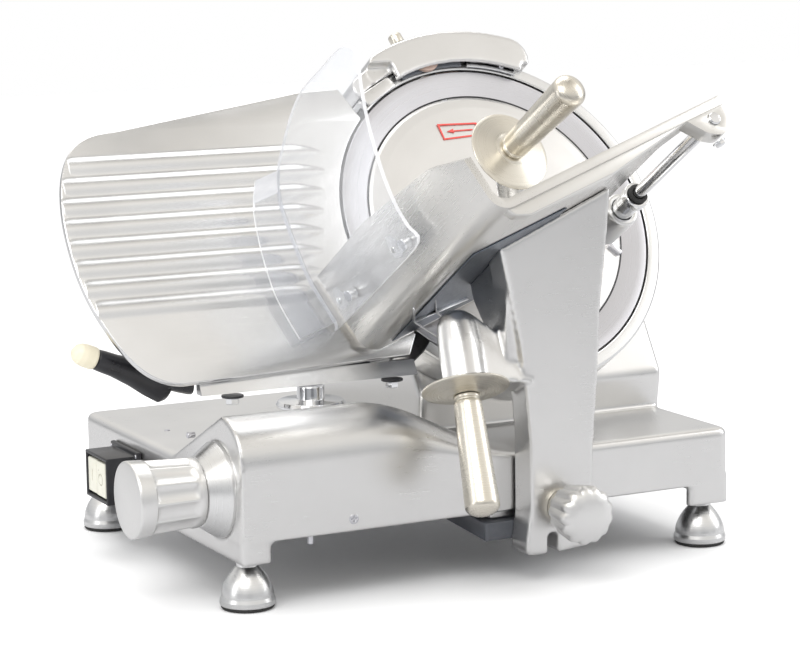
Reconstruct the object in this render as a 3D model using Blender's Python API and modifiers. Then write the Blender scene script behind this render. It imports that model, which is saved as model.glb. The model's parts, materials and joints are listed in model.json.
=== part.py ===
"""Gravity-feed deli meat slicer, 300 mm blade, as an assembly of separate parts.

Lengths below are millimetres and are turned into metres by MM where a mesh or an object is made.
Three frames are used, each one an empty that its parts are parented to:
  machine frame  X along the carriage travel, Y towards the back, Z up, origin under the near left foot
  blade frame    at the blade's centre, X as above, Y up the blade's plane, Z out of it towards the tray
  tray frame     the blade frame turned about its Z, so X runs along the tray floor and Y up its wall
"""
from math import atan2, cos, degrees, hypot, pi, radians, sin

import bmesh
import bpy
from mathutils import Matrix, Vector

MM = 0.001
GAP = 0.3                       # clearance between touching pieces

# driving dimensions
FOOT_SPACING_X = 440.0
FOOT_SPACING_Y = 325.0
BLADE_RADIUS = 150.0
BLADE_CENTRE = (313.0, 137.0, 287.0)
BLADE_LEAN = radians(31.6)      # the blade's plane leans back this far from upright
FLOOR_SLOPE = radians(19.7)     # the tray floor climbs this steeply across the blade's plane
TRAY_CORNER = (-162.0, -112.0)  # where the tray's wall and floor meet, in the blade frame
TRAY_NEAR, TRAY_FAR = 280.0, 4.0
ORIGIN = (186.3, 99.0)          # middle of the whole machine in the machine frame, the part's origin

BASE_LEFT, BASE_RIGHT = -14.0, 456.0
BASE_FRONT, BASE_BACK = -24.0, 345.0
BASE_TOP, BASE_SKIRT, LEG_BOTTOM = 107.0, 57.0, 39.0
WALL = 6.0

COVER_RADIUS = 124.0
RING_RADIUS = 163.5
COLUMN_FACE = -33.0             # front of the casting behind the blade, along the blade frame's Z

INDEX_AXIS = (28.0, 94.0)       # y, z of the thickness knob's shaft
GAUGE_TRAVEL = 16.0             # how far the gauge plate backs away from the blade's edge
CAM_SWEEP = radians(320)        # how far the thickness knob turns for it
CAM_START = 11.0
POST = (95.0, 75.0)             # x, y of the post that carries the gauge plate
ARM_FRONT, ARM_BACK = -56.0, -27.0
ROD = (226.0, -16.0)            # pusher rod in the tray frame
TIE_END = 199.0                 # where the centre cover's rod meets its knob, behind the blade
MOTOR = (20.0, -95.0)           # motor shaft in the blade frame


for old in list(bpy.data.objects):
    bpy.data.objects.remove(old, do_unlink=True)

parts = bpy.data.collections.new("deli_meat_slicer")
tools = bpy.data.collections.new("cutters")
bpy.context.scene.collection.children.link(parts)
bpy.context.scene.collection.children.link(tools)

FINISHES = {
    "cast": ((0.72, 0.72, 0.71), 0.38, 1.0),
    "polished": ((0.80, 0.80, 0.80), 0.22, 1.0),
    "steel": ((0.66, 0.67, 0.70), 0.20, 1.0),
    "chrome": ((0.80, 0.81, 0.82), 0.08, 1.0),
    "nickel": ((0.74, 0.71, 0.64), 0.28, 1.0),
    "black": ((0.03, 0.03, 0.035), 0.45, 0.0),
    "rubber": ((0.02, 0.02, 0.02), 0.80, 0.0),
    "clear": ((0.92, 0.93, 0.95), 0.05, 0.0),
    "pale": ((0.72, 0.72, 0.68), 0.40, 0.0),
    "stone": ((0.55, 0.40, 0.33), 0.90, 0.0),
    "paint": ((0.20, 0.21, 0.23), 0.55, 0.0),
}
materials = {}
for finish, (colour, roughness, metallic) in FINISHES.items():
    material = bpy.data.materials.new(finish)
    material.use_nodes = True
    shader = material.node_tree.nodes["Principled BSDF"]
    shader.inputs["Base Color"].default_value = (*colour, 1.0)
    shader.inputs["Roughness"].default_value = roughness
    shader.inputs["Metallic"].default_value = metallic
    materials[finish] = material


# ---------------------------------------------------------------- frames

def frame(name, parent=None, at=(0, 0, 0), turn=(0, 0, 0)):
    """An empty that parts are placed under."""
    empty = bpy.data.objects.new(name, None)
    empty.location = [v * MM for v in at]
    empty.rotation_euler = turn
    empty.parent = parent
    tools.objects.link(empty)
    return empty


machine = frame("machine_frame", at=(-ORIGIN[0], -ORIGIN[1], 0))
blade_frame = frame("blade_frame", machine, BLADE_CENTRE, (pi / 2 - BLADE_LEAN, 0, 0))
tray_frame = frame("tray_frame", blade_frame, (*TRAY_CORNER, 0), (0, 0, FLOOR_SLOPE))
X_AXIS = (0, pi / 2, 0)         # turns a part made along Z so that it lies along +X
BACK_X = (0, -pi / 2, 0)
FRONT_Y = (pi / 2, 0, 0)        # turns a part made along Z so that it points to the near side


# ---------------------------------------------------------------- builders

def place(name, mesh, parent, at, turn, finish, tool):
    """Turn a mesh into an object in the right collection."""
    obj = bpy.data.objects.new(name, mesh)
    obj.location = [v * MM for v in at]
    obj.rotation_euler = turn
    obj.parent = parent
    if tool:
        tools.objects.link(obj)
        obj.hide_render = True
        obj.display_type = "WIRE"
    else:
        parts.objects.link(obj)
        mesh.materials.append(materials[finish])
    return obj


def mesh_of(bm, name, sharp=radians(35)):
    """Finish a bmesh as a mesh with smooth round faces and sharp edges."""
    bmesh.ops.recalc_face_normals(bm, faces=bm.faces)
    mesh = bpy.data.meshes.new(name)
    bm.to_mesh(mesh)
    bm.free()
    mesh.shade_smooth()
    mesh.set_sharp_from_angle(angle=sharp)
    return mesh


def bevel(obj, width, segments=3, angle=radians(40)):
    modifier = obj.modifiers.new("bevel", "BEVEL")
    modifier.width = width * MM
    modifier.segments = segments
    modifier.limit_method = "ANGLE"
    modifier.angle_limit = angle
    return obj


def boolean(obj, other, operation):
    modifier = obj.modifiers.new(operation.lower(), "BOOLEAN")
    modifier.operation = operation
    modifier.solver = "EXACT"
    modifier.object = other


def cut(obj, *others):
    for other in others:
        boolean(obj, other, "DIFFERENCE")
    return obj


def join(obj, *others):
    for other in others:
        boolean(obj, other, "UNION")
    return obj


def box(name, low, high, parent=machine, finish="cast", tool=False, round_to=0.0, at=(0, 0, 0),
        turn=(0, 0, 0)):
    """A block between two corners, measured from the object's own origin."""
    bm = bmesh.new()
    bmesh.ops.create_cube(bm, size=1.0)
    for vert in bm.verts:
        for i in range(3):
            vert.co[i] = (low[i] + (vert.co[i] + 0.5) * (high[i] - low[i])) * MM
    obj = place(name, mesh_of(bm, name), parent, at, turn, finish, tool)
    if round_to:
        bevel(obj, round_to, segments=1)
    return obj


def turned(name, profile, parent=machine, at=(0, 0, 0), turn=(0, 0, 0), finish="cast", tool=False,
           steps=32):
    """A solid of revolution about Z: profile is (radius, height) down the outside, top to bottom."""
    bm = bmesh.new()
    verts = [bm.verts.new((radius * MM, 0, height * MM)) for radius, height in profile]
    loop = profile[0][0] > 0
    for a, b in zip(verts, verts[1:] + verts[:1] if loop else verts[1:]):
        bm.edges.new((a, b))
    mesh = bpy.data.meshes.new(name)
    bm.to_mesh(mesh)
    bm.free()
    obj = place(name, mesh, parent, at, turn, finish, tool)
    screw = obj.modifiers.new("screw", "SCREW")
    screw.axis = "Z"
    screw.angle = 2 * pi
    screw.steps = steps
    screw.render_steps = steps
    screw.use_merge_vertices = True
    screw.merge_threshold = 0.00001
    screw.use_smooth_shade = True
    return obj


def plate(name, loops, low, high, parent=machine, at=(0, 0, 0), turn=(0, 0, 0), finish="cast", tool=False,
          round_to=0.0):
    """A flat outline, with any holes as further loops, from height low to height high along Z."""
    curve = bpy.data.curves.new(name, "CURVE")
    curve.dimensions = "2D"
    curve.fill_mode = "BOTH"
    curve.extrude = (high - low) / 2 * MM
    for loop in loops:
        spline = curve.splines.new("POLY")
        spline.points.add(len(loop) - 1)
        for point, (x, y) in zip(spline.points, loop):
            point.co = (x * MM, y * MM, 0, 1)
        spline.use_cyclic_u = True
    flat = bpy.data.objects.new(name, curve)
    bpy.context.scene.collection.objects.link(flat)
    bpy.context.view_layer.update()
    evaluated = flat.evaluated_get(bpy.context.evaluated_depsgraph_get())
    mesh = bpy.data.meshes.new_from_object(evaluated)
    bpy.data.objects.remove(flat)
    bm = bmesh.new()
    bm.from_mesh(mesh)
    bmesh.ops.remove_doubles(bm, verts=bm.verts, dist=1e-6)
    bmesh.ops.translate(bm, verts=bm.verts, vec=(0, 0, (low + high) / 2 * MM))
    bmesh.ops.dissolve_limit(bm, angle_limit=0.001, verts=bm.verts, edges=bm.edges)
    obj = place(name, mesh_of(bm, name), parent, at, turn, finish, tool)
    if round_to:
        bevel(obj, round_to, segments=1)
    return obj


def side_plate(name, loops, x_low, x_high, **more):
    """A plate whose outline is given as (y, z) and that runs from x_low to x_high."""
    return plate(name, loops, x_low, x_high, turn=(pi / 2, 0, pi / 2), **more)


def front_plate(name, loops, y_front, y_back, **more):
    """A plate whose outline is given as (x, z) and that runs from y_front to y_back."""
    return plate(name, loops, -y_back, -y_front, turn=(pi / 2, 0, 0), **more)


def loft(name, sections, parent=machine, at=(0, 0, 0), turn=(0, 0, 0), finish="cast", tool=False,
         sharp=radians(35)):
    """A closed solid through sections that have the same number of points."""
    bm = bmesh.new()
    rings = [[bm.verts.new([c * MM for c in point]) for point in section] for section in sections]
    for one, two in zip(rings, rings[1:]):
        for i in range(len(one)):
            j = (i + 1) % len(one)
            bm.faces.new((one[i], one[j], two[j], two[i]))
    bm.faces.new(rings[0])
    bm.faces.new(list(reversed(rings[-1])))
    return place(name, mesh_of(bm, name, sharp), parent, at, turn, finish, tool)


def arc(centre, radius, start, end, count):
    """Points on an arc, angles in degrees."""
    angles = [radians(start + (end - start) * i / (count - 1)) for i in range(count)]
    return [(centre[0] + radius * cos(a), centre[1] + radius * sin(a)) for a in angles]


def circle(centre, radius, count=32):
    return arc(centre, radius, 0, 360 * (count - 1) / count, count)


def rounded(points, radius, count=5):
    """A polygon with its corners rounded: radius is one number, or one for each corner."""
    radii = radius if isinstance(radius, (list, tuple)) else [radius] * len(points)
    outline = []
    for i, here in enumerate(points):
        corner = Vector(here)
        if not radii[i]:
            outline.append(tuple(corner))
            continue
        before = (Vector(points[i - 1]) - corner).normalized()
        after = (Vector(points[(i + 1) % len(points)]) - corner).normalized()
        half = before.angle(after) / 2
        reach = radii[i] / abs(sin(half) / cos(half))
        centre = corner + (before + after).normalized() * (radii[i] / sin(half))
        first = corner + before * reach - centre
        last = corner + after * reach - centre
        start = atan2(first.y, first.x)
        sweep = (atan2(last.y, last.x) - start + pi) % (2 * pi) - pi
        for k in range(count):
            a = start + sweep * k / (count - 1)
            outline.append((centre.x + radii[i] * cos(a), centre.y + radii[i] * sin(a)))
    return outline


def lobed(name, stations, lobes, parent=machine, at=(0, 0, 0), turn=(0, 0, 0), finish="cast", per_lobe=6):
    """A knob whose round sections are scalloped: stations are (height, radius, depth of the flutes)."""
    count = lobes * per_lobe
    sections = []
    for height, radius, depth in stations:
        ring = []
        for i in range(count):
            a = 2 * pi * i / count
            wave = (0.5 - 0.5 * cos(lobes * a)) ** 0.7
            r = radius - depth * (1 - wave)
            ring.append((r * cos(a), r * sin(a), height))
        sections.append(ring)
    return loft(name, sections, parent, at, turn, finish)


def screw_head(name, parent, at, turn=(0, 0, 0), radius=5.0, height=3.5, finish="steel"):
    """A hexagon head with a short domed top, standing on its origin along +Z."""
    obj = turned(name, [(0, height), (radius * 0.72, height), (radius, height - 0.8), (radius, 0), (0, 0)],
                 parent, at, turn, finish, steps=6)
    for polygon in obj.data.polygons:
        polygon.use_smooth = False
    obj.modifiers["screw"].use_smooth_shade = False
    return obj


# ---------------------------------------------------------------- base casting

def housing_crest(x):
    """Height of the gauge housing's crest: level, then falling away to the base's top."""
    start, end, level = 105.0, 262.0, 157.0
    if x <= start:
        return level
    t = min(1.0, (x - start) / (end - start))
    return level - (level - BASE_TOP + 1.0) * (1 - cos(pi * t)) / 2


def housing_section(x, inset=0.0):
    """The gauge housing across X: upright front, round shoulder, crest, and a long slope to the back."""
    crest = housing_crest(x) - inset
    front = BASE_FRONT + inset
    shoulder = crest - 0.72 * (crest - BASE_TOP + 3.0)
    ridge_y = 17.0
    points = [(x, front, BASE_SKIRT + 5), (x, front, shoulder)]
    for k in range(1, 8):
        a = pi / 2 * k / 8
        points.append((x, front + (ridge_y - front) * (1 - cos(a)), shoulder + (crest - shoulder) * sin(a)))
    points.append((x, ridge_y, crest))
    foot = (130.0 - inset, BASE_TOP - 4.0 - inset)
    for k in range(1, 4):
        t = k / 3
        points.append((x, ridge_y + (foot[0] - ridge_y) * t, crest + (foot[1] - crest) * t))
    points.append((x, foot[0], BASE_SKIRT + 5))
    return points


slab = rounded([(BASE_LEFT, BASE_FRONT), (BASE_RIGHT, BASE_FRONT), (BASE_RIGHT, BASE_BACK),
                (BASE_LEFT, BASE_BACK)], [6, 10, 14, 14], 4)
base = plate("base_casting", [slab], BASE_SKIRT, BASE_TOP, finish="cast")
bevel(base, 4, 2)

stations = [BASE_LEFT + 1 + 9 * i for i in range(2)] + [60, 105, 125, 145, 165, 185, 205, 225, 245, 258]
join(base, loft("housing", [housing_section(x) for x in stations], tool=True))

for name, x_low, x_high in (("left", BASE_LEFT + 0.5, 14.0), ("right", 414.0, BASE_RIGHT - 0.5)):
    skirt = rounded([(x_low, BASE_FRONT + 0.5), (x_high, BASE_FRONT + 0.5), (x_high, BASE_BACK - 0.5),
                     (x_low, BASE_BACK - 0.5)], 5, 3)
    join(base, plate("skirt_" + name, [skirt], LEG_BOTTOM, BASE_SKIRT + 8, tool=True))


def leaning(b, depth):
    """(y, z) in the machine frame of a point b up the blade's plane and depth behind it."""
    y = BLADE_CENTRE[1] + b * sin(BLADE_LEAN) + depth * cos(BLADE_LEAN)
    z = BLADE_CENTRE[2] + b * cos(BLADE_LEAN) - depth * sin(BLADE_LEAN)
    return y, z


COLUMN_LEFT, COLUMN_RIGHT = 205.0, BASE_RIGHT
BACK_TOP = (250.0, 306.0)
BACK_KNEE = (294.0, 176.0)
BACK_FOOT = (296.0, BASE_TOP - 5)
face_depth = -COLUMN_FACE
column_top = leaning(68, face_depth)
column_side = rounded([(92, BASE_TOP - 5), (86, 141), column_top, BACK_TOP, BACK_KNEE, BACK_FOOT],
                      [0, 12, 6, 6, 6, 0], 4)
column = side_plate("column", [column_side], COLUMN_LEFT, COLUMN_RIGHT, tool=True)
backing = plate("backing", [circle((0, 0), RING_RADIUS - 2.5, 64)], -44, COLUMN_FACE, blade_frame,
                tool=True)
bearing_boss = turned("bearing_boss", [(0, -25), (35, -25), (35, -61.5), (0, -61.5)], blade_frame,
                      tool=True, steps=30)
join(base, column, backing)

inner_front = leaning(-145, face_depth + WALL)
inner_top = leaning(61, face_depth + WALL)
hollow = [(98, BASE_SKIRT), (98, inner_front[1] - 4), inner_front, inner_top,
          (BACK_TOP[0] + 2, BACK_TOP[1] - 8), (340, 290), (340, BASE_TOP + 0.5),
          (BACK_FOOT[0] - WALL, BASE_TOP + 0.5), (BACK_FOOT[0] - WALL, BASE_SKIRT)]
cut(base, side_plate("column_hollow", [hollow], COLUMN_LEFT + WALL, COLUMN_RIGHT - WALL, tool=True))
join(base, bearing_boss)
cut(base, turned("bearing_bore", [(0, -20), (20.3, -20), (20.3, -70), (0, -70)], blade_frame, tool=True))
cut(base, box("base_hollow", (BASE_LEFT + WALL, BASE_FRONT + WALL, 20),
              (BASE_RIGHT - WALL, BASE_BACK - WALL, BASE_TOP - WALL), tool=True))
inner_stations = [BASE_LEFT + WALL + 0.5, 60, 105, 123]
cut(base, loft("housing_hollow", [housing_section(x, WALL) for x in inner_stations], tool=True))
post_slot = rounded([(POST[0] - 15, POST[1] - 15), (POST[0] + 15, POST[1] - 15),
                     (POST[0] + 15, POST[1] + 34), (POST[0] - 15, POST[1] + 34)], 12, 4)
cut(base, plate("post_slot", [post_slot], BASE_TOP - 12, 170, tool=True))
DIAL_RADIUS = 40.0
cut(base, turned("dial_recess", [(0, 30), (DIAL_RADIUS + 1.5, 30), (DIAL_RADIUS + 1.5, -3), (0, -3)],
                 at=(BASE_LEFT, *INDEX_AXIS), turn=BACK_X, tool=True))
cut(base, turned("index_bore", [(0, 10), (9.3, 10), (9.3, -20), (0, -20)], at=(BASE_LEFT, *INDEX_AXIS),
                 turn=BACK_X, tool=True))

# ---------------------------------------------------------------- feet

FOOT_RADIUS = 23.0
bell = [(0, LEG_BOTTOM - GAP), (8.5, LEG_BOTTOM - GAP), (10, 31), (18.5, 20.5), (FOOT_RADIUS, 8),
        (FOOT_RADIUS, 4), (FOOT_RADIUS - 2, 0), (0, 0)]
foot_places = [(x, y) for x in (0, FOOT_SPACING_X) for y in (0, FOOT_SPACING_Y)]
for number, (x, y) in enumerate(foot_places, 1):
    turned("foot_%d" % number, bell, at=(x, y, 0), finish="polished", steps=20)

# ---------------------------------------------------------------- covers under and behind

box("bottom_cover", (BASE_LEFT + WALL + GAP, 96, BASE_SKIRT),
    (BASE_RIGHT - WALL - GAP, BASE_BACK - WALL - GAP, BASE_SKIRT + 2.5), finish="steel")

run = Vector(BACK_KNEE) - Vector(BACK_TOP)
out = Vector((-run.y, run.x)).normalized()
SKIN = 3.0


def offset(point, direction, distance):
    return point[0] + direction[0] * distance, point[1] + direction[1] * distance


def knee(distance):
    """The bend of the rear cover at a distance outside the casting's back."""
    return BACK_KNEE[0] + distance, BACK_KNEE[1] + distance * 0.28


cover_profile = [offset(BACK_TOP, out, GAP), offset(BACK_TOP, out, GAP + SKIN), knee(GAP + SKIN + 0.8),
                 (BACK_FOOT[0] + GAP + SKIN + 0.8, BASE_TOP + GAP),
                 (BACK_FOOT[0] + GAP + 0.8, BASE_TOP + GAP), knee(GAP + 0.8)]
rear_cover = side_plate("rear_cover", [cover_profile], COLUMN_LEFT + 1, COLUMN_RIGHT - 1, finish="steel")
join(rear_cover, turned("tie_boss", [(0, -150), (14, -150), (14, -TIE_END), (0, -TIE_END)], blade_frame,
                        tool=True, steps=20))
cut(rear_cover, turned("tie_rod_way", [(0, -120), (5, -120), (5, -230), (0, -230)], blade_frame,
                       tool=True, steps=20))

# ---------------------------------------------------------------- blade group

blade_profile = [(20, -7), (118, -7), (125, -3.6), (BLADE_RADIUS - 0.6, -1.2), (BLADE_RADIUS, -1.9),
                 (120, -10), (20, -10)]
turned("blade", blade_profile, blade_frame, finish="steel", steps=64)
turned("blade_cover", [(0, -0.5), (90, -0.5), (112, -1.0), (COVER_RADIUS, -2.8),
                       (COVER_RADIUS, -3.6), (117, -5.8), (0, -5.8)], blade_frame, finish="polished",
                       steps=40)
turned("blade_shaft", [(5, -10.3), (38, -10.3), (38, -14), (24, -18), (14, -22), (12, -26), (12, -72),
                       (5, -72)],
       blade_frame, finish="steel", steps=28)
for number, top in enumerate((-33, -50), 1):
    turned("blade_bearing_%d" % number, [(12 + GAP, top), (20, top), (20, top - 8), (12 + GAP, top - 8)],
           blade_frame, finish="steel", steps=28)
BELT_TOP, BELT_BOTTOM = -63.5, -76.0
turned("blade_pulley", [(5 + GAP, -72.3), (12.3, -72.3), (12.3, -62.3), (47, -62.3), (47, -77.5),
                        (40, -77.5), (40, -74.5), (5 + GAP, -74.5)], blade_frame, finish="cast", steps=28)

turned("tie_rod", [(0, -6), (4.4, -6), (4.4, -TIE_END), (0, -TIE_END)], blade_frame, finish="steel",
       steps=16)
lobed("tie_knob", [(-TIE_END - GAP, 10, 0), (-TIE_END - 7, 15.5, 2.0), (-TIE_END - 20, 15.5, 2.0)], 7,
      blade_frame, finish="black", per_lobe=4)

ring = turned("ring_guard", [(151.6, 0), (RING_RADIUS - 1, 0), (RING_RADIUS, -1), (RING_RADIUS, -32.7),
                             (RING_RADIUS - 5, -32.7), (RING_RADIUS - 5, -4), (151.6, -3.2)], blade_frame,
              finish="cast", steps=60)
cut(ring, plate("ring_opening", [[(0, 0)] + arc((0, 0), 220, 131, 228, 8)], -50, 20, blade_frame,
                tool=True))

# ---------------------------------------------------------------- drive

turned("motor", [(0, -92), (30, -92), (40, -98), (42, -104), (42, -168), (38, -174), (0, -174)],
       blade_frame, (*MOTOR, 0), finish="paint", steps=32)
turned("motor_shaft", [(0, -58), (7, -58), (7, -91.7), (0, -91.7)], blade_frame, (*MOTOR, 0),
       finish="steel",
       steps=20)
turned("motor_pulley", [(7.3, -62.3), (15, -62.3), (15, -77.5), (7.3, -77.5)], blade_frame, (*MOTOR, 0),
       finish="steel", steps=28)


def belt_loop(reach, count=28):
    """Outline of a belt round the two pulleys, reach outside their rims."""
    distance = hypot(*MOTOR)
    heading = degrees(atan2(MOTOR[1], MOTOR[0]))
    big, small = 47 + reach, 15 + reach
    wrap = 90 - degrees(atan2(big - small, (distance ** 2 - (big - small) ** 2) ** 0.5))
    one = arc((0, 0), big, heading + wrap, heading + 360 - wrap, count)
    two = arc(MOTOR, small, heading - wrap, heading + wrap, count // 2)
    return one + two


plate("drive_belt", [belt_loop(3.0), belt_loop(GAP)], BELT_BOTTOM, BELT_TOP, blade_frame, finish="rubber")
bracket = rounded([(-100, -138), (132, -138), (132, -50), (-100, -50)], 8, 4)
plate("motor_bracket", [bracket, circle(MOTOR, 26, 28)], -90, -84, blade_frame, finish="paint")
gland = turned("cord_gland", [(0, 16), (6, 16), (8, 13), (9, 6), (12, 5.5), (12, 0), (0, 0)],
               at=(70, BASE_BACK + GAP, 82), turn=(-pi / 2, 0, 0), finish="black", steps=20)
cut(gland, turned("gland_bore", [(0, 20), (3.8, 20), (3.8, 3), (0, 3)], at=(70, BASE_BACK + GAP, 82),
                  turn=(-pi / 2, 0, 0), tool=True, steps=16))

# ---------------------------------------------------------------- switch

SWITCH = (228.0, 70.0)          # y, z of its middle on the left end
flange = box("switch_housing", (-5, -33, -25), (0, 33, 25), at=(BASE_LEFT - GAP, *SWITCH), finish="black",
             round_to=1.5)
join(flange, box("switch_body", (-31, -27, -21), (-3, 27, 21), at=(BASE_LEFT - GAP, *SWITCH), tool=True))
cut(flange, box("switch_well", (-40, -23.5, -17.5), (-21, 23.5, 17.5), at=(BASE_LEFT - GAP, *SWITCH),
                tool=True))
for name, side, finish in (("start_button", -1, "pale"), ("stop_button", 1, "black")):
    box(name, (-6, -10.5, -15.5), (0, 10.5, 15.5),
        at=(BASE_LEFT - 25.5, SWITCH[0] + side * 11.6, SWITCH[1]),
        finish=finish, round_to=1.2)

# ---------------------------------------------------------------- thickness knob

KNOB_BACK = 18.0                # from the end face to the knob
stations = [(KNOB_BACK + GAP, 29, 0), (KNOB_BACK + 12, 29.8, 2.6), (KNOB_BACK + 41, 31, 2.6),
            (KNOB_BACK + 44, 31.4, 0), (KNOB_BACK + 58, 32, 0), (KNOB_BACK + 59.5, 30.5, 0)]
lobed("index_knob", stations, 12, at=(BASE_LEFT, *INDEX_AXIS), turn=BACK_X, finish="polished", per_lobe=4)
turned("dial_ring", [(10, KNOB_BACK), (27, KNOB_BACK), (28, KNOB_BACK - 1), (DIAL_RADIUS, 0.5),
                     (DIAL_RADIUS, -2.7), (10, -2.7)], at=(BASE_LEFT, *INDEX_AXIS), turn=BACK_X,
       finish="polished", steps=40)
turned("index_shaft", [(0, KNOB_BACK), (9, KNOB_BACK), (9, -24.7), (0, -24.7)], at=(BASE_LEFT, *INDEX_AXIS),
       turn=BACK_X, finish="steel", steps=24)


def spiral(start, rise, count=32):
    """Outline of a cam that grows by rise for each radian, starting from the follower's side."""
    points = []
    for i in range(count):
        a = 2 * pi * 0.95 * i / (count - 1)
        radius = start + rise * a
        points.append((radius * cos(a + pi / 2), radius * sin(a + pi / 2)))
    return points


plate("index_cam", [spiral(CAM_START, GAUGE_TRAVEL / CAM_SWEEP)], -35, -25, at=(BASE_LEFT, *INDEX_AXIS),
      turn=BACK_X, finish="steel")

# ---------------------------------------------------------------- gauge plate and its support

GAUGE_FACE, GAUGE_BACK = -2.6, -8.6
start_angle = degrees(atan2(108, -107))
gauge_outline = [(-339, 109), (-366, 105), (-381, 96), (-392, 83), (-400, 66), (-405, 45), (-407, 18),
                 (-405.5, -18), (-400, -48), (-391, -74), (-381, -95), (-367, -114), (-351, -125),
                 (-334, -129), (-122, -122)]
gauge_outline += arc((0, 0), BLADE_RADIUS + 2, 223, start_angle, 22)
gauge_outline += [(-122, 139), (-160, 138)]
gauge = plate("gauge_plate", [gauge_outline], GAUGE_BACK, GAUGE_FACE, blade_frame, finish="polished")
RIB_PITCH, RIB_TOP, RIB_WIDTH = 19.1, 77.5, 7.0
for number in range(8):
    b = RIB_TOP - RIB_PITCH * number
    left = -(388 + 14 * (1 - ((b - 8) / 100) ** 2))
    right = -158 - 0.28 * max(0.0, 60 - b)
    rib = rounded([(left, b - RIB_WIDTH / 2), (right, b - RIB_WIDTH / 2), (right, b + RIB_WIDTH / 2),
                   (left, b + RIB_WIDTH / 2)], RIB_WIDTH / 2 - 0.05, 4)
    join(gauge, plate("gauge_rib_%d" % number, [rib], GAUGE_FACE - 1, GAUGE_FACE + 1.6, blade_frame,
                      tool=True))

rail = box("gauge_bracket", (-6, 50, 164), (196, 84, 176), finish="cast")
web = plate("bracket_web", [rounded([(-310, -126), (-124, -122), (-150, -80), (-310, -60)], 8, 4)],
            GAUGE_BACK - 16, GAUGE_BACK - GAP, blade_frame, tool=True)
join(rail, web)
cut(rail, box("bracket_face", (-420, -200, GAUGE_BACK - GAP), (0, 200, 80), blade_frame, tool=True))

post = turned("gauge_post", [(0, 163.7), (12, 163.7), (12, 152), (28, 151), (30, 148), (30, 145), (12, 144),
                             (12, 103), (0, 103)], at=(*POST, 0), finish="chrome", steps=32)
block = box("gauge_slide", (-22, -18, 84), (22, 22, 102.7), at=(*POST, 0), finish="cast", round_to=1.5)
follower_face = INDEX_AXIS[0] + CAM_START + 0.65 - POST[1]
join(block, box("follower_arm", (11 - POST[0], -19, 84.5), (-15, -6, 93), at=(*POST, 0), tool=True),
     box("follower_tip", (11 - POST[0], follower_face, 84.5), (21 - POST[0], -12, 93), at=(*POST, 0),
         tool=True))
guide_way = turned("guide_way", [(0, 100), (6.3, 100), (6.3, -100), (0, -100)],
                   at=(POST[0] + 8, POST[1], 93),
                   turn=FRONT_Y, tool=True, steps=20)
cut(block, guide_way)
turned("gauge_guide_rod", [(0, 62), (6, 62), (6, -62), (0, -62)], at=(POST[0] + 8, POST[1] + 5, 93),
       turn=FRONT_Y,
       finish="steel", steps=20)

lever_turn = (0, radians(-67), 0)
lever_at = (-26, 116, 172)
turned("gauge_lever", [(0, 62), (8.5, 62), (9, 50), (11, 20), (13, 0), (13, -8), (0, -8)], at=lever_at,
       turn=lever_turn, finish="black", steps=24)
turned("lever_cap", [(0, 84), (3.5, 83.2), (6.8, 80.8), (9, 77), (9.8, 72), (9.8, 62 + GAP), (0, 62 + GAP)],
       at=lever_at, turn=lever_turn, finish="nickel", steps=24)

# ---------------------------------------------------------------- carriage

SLIDE_ROD = (0.0, 66.0)         # y, z of the main slide rod
GUIDE_BAR = (58.0, 66.0)
span = BASE_RIGHT - BASE_LEFT - 2 * (WALL + GAP)
turned("slide_rod", [(0, span), (8, span), (8, 0), (0, 0)], at=(BASE_LEFT + WALL + GAP, *SLIDE_ROD),
       turn=X_AXIS,
       finish="chrome", steps=24)
box("guide_bar", (0, -6, -6), (span, 6, 6), at=(BASE_LEFT + WALL + GAP, *GUIDE_BAR), finish="steel")

slide = box("slide_block", (218, -17, 50.3), (284, 72, 79), finish="cast", round_to=1.5)
cut(slide, turned("rod_way", [(0, 600), (8.3, 600), (8.3, -100), (0, -100)], at=(0, *SLIDE_ROD),
                  turn=X_AXIS,
                  tool=True, steps=24))
cut(slide, box("bar_way", (-100, GUIDE_BAR[0] - 6.3, GUIDE_BAR[1] - 6.3),
               (600, GUIDE_BAR[0] + 6.3, GUIDE_BAR[1] + 6.3), tool=True))
foot_outline = rounded([(208, ARM_BACK + GAP), (292, ARM_BACK + GAP), (284, 70), (218, 70)],
                       [0, 0, 8, 8], 4)
plate("foot_plate", [foot_outline], 34, 50, finish="paint")

arm_outline = [(231, 24.5), (252.5, 24), (252.5, 42), (262, 42), (262, 24.5), (295, 27), (296, 80),
               (297.5, 118), (302, 178), (304.5, 233), (312, 300), (318, 380), (200, 380), (206, 296),
               (216, 256), (226, 208), (232, 168), (236, 122), (236, 62)]
arm = front_plate("arm", [arm_outline], ARM_FRONT, ARM_BACK, finish="cast", round_to=3.0)
gusset = [(-50, 182), (-28, 182), (-28, 196), (10, 236), (34, 300), (-50, 330)]
join(arm, side_plate("arm_gusset", [gusset], 217, 234, tool=True))
HANDLE = (178.0, -50.0, 171.0)  # where the handle's flange meets its boss
handle_frame = frame("handle_frame", machine, HANDLE, (radians(-29), radians(7.7), 0))
boss = turned("handle_boss", [(0, 70), (8, 68.5), (14, 64), (17, 56), (17.8, 3.2), (14, 0.6), (0, 0.6)],
              handle_frame, tool=True, steps=28)
bridge = plate("handle_bridge", [[(0, 5), (58, 5), (58, 30), (9, 64), (0, 64)]], -12, 12, handle_frame,
               turn=FRONT_Y, tool=True)
join(arm, boss, bridge)
tray_space = box("tray_space", (-60, -8.3, -60), (400, 300, 500), tray_frame, tool=True)
cut(arm, tray_space)

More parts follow.
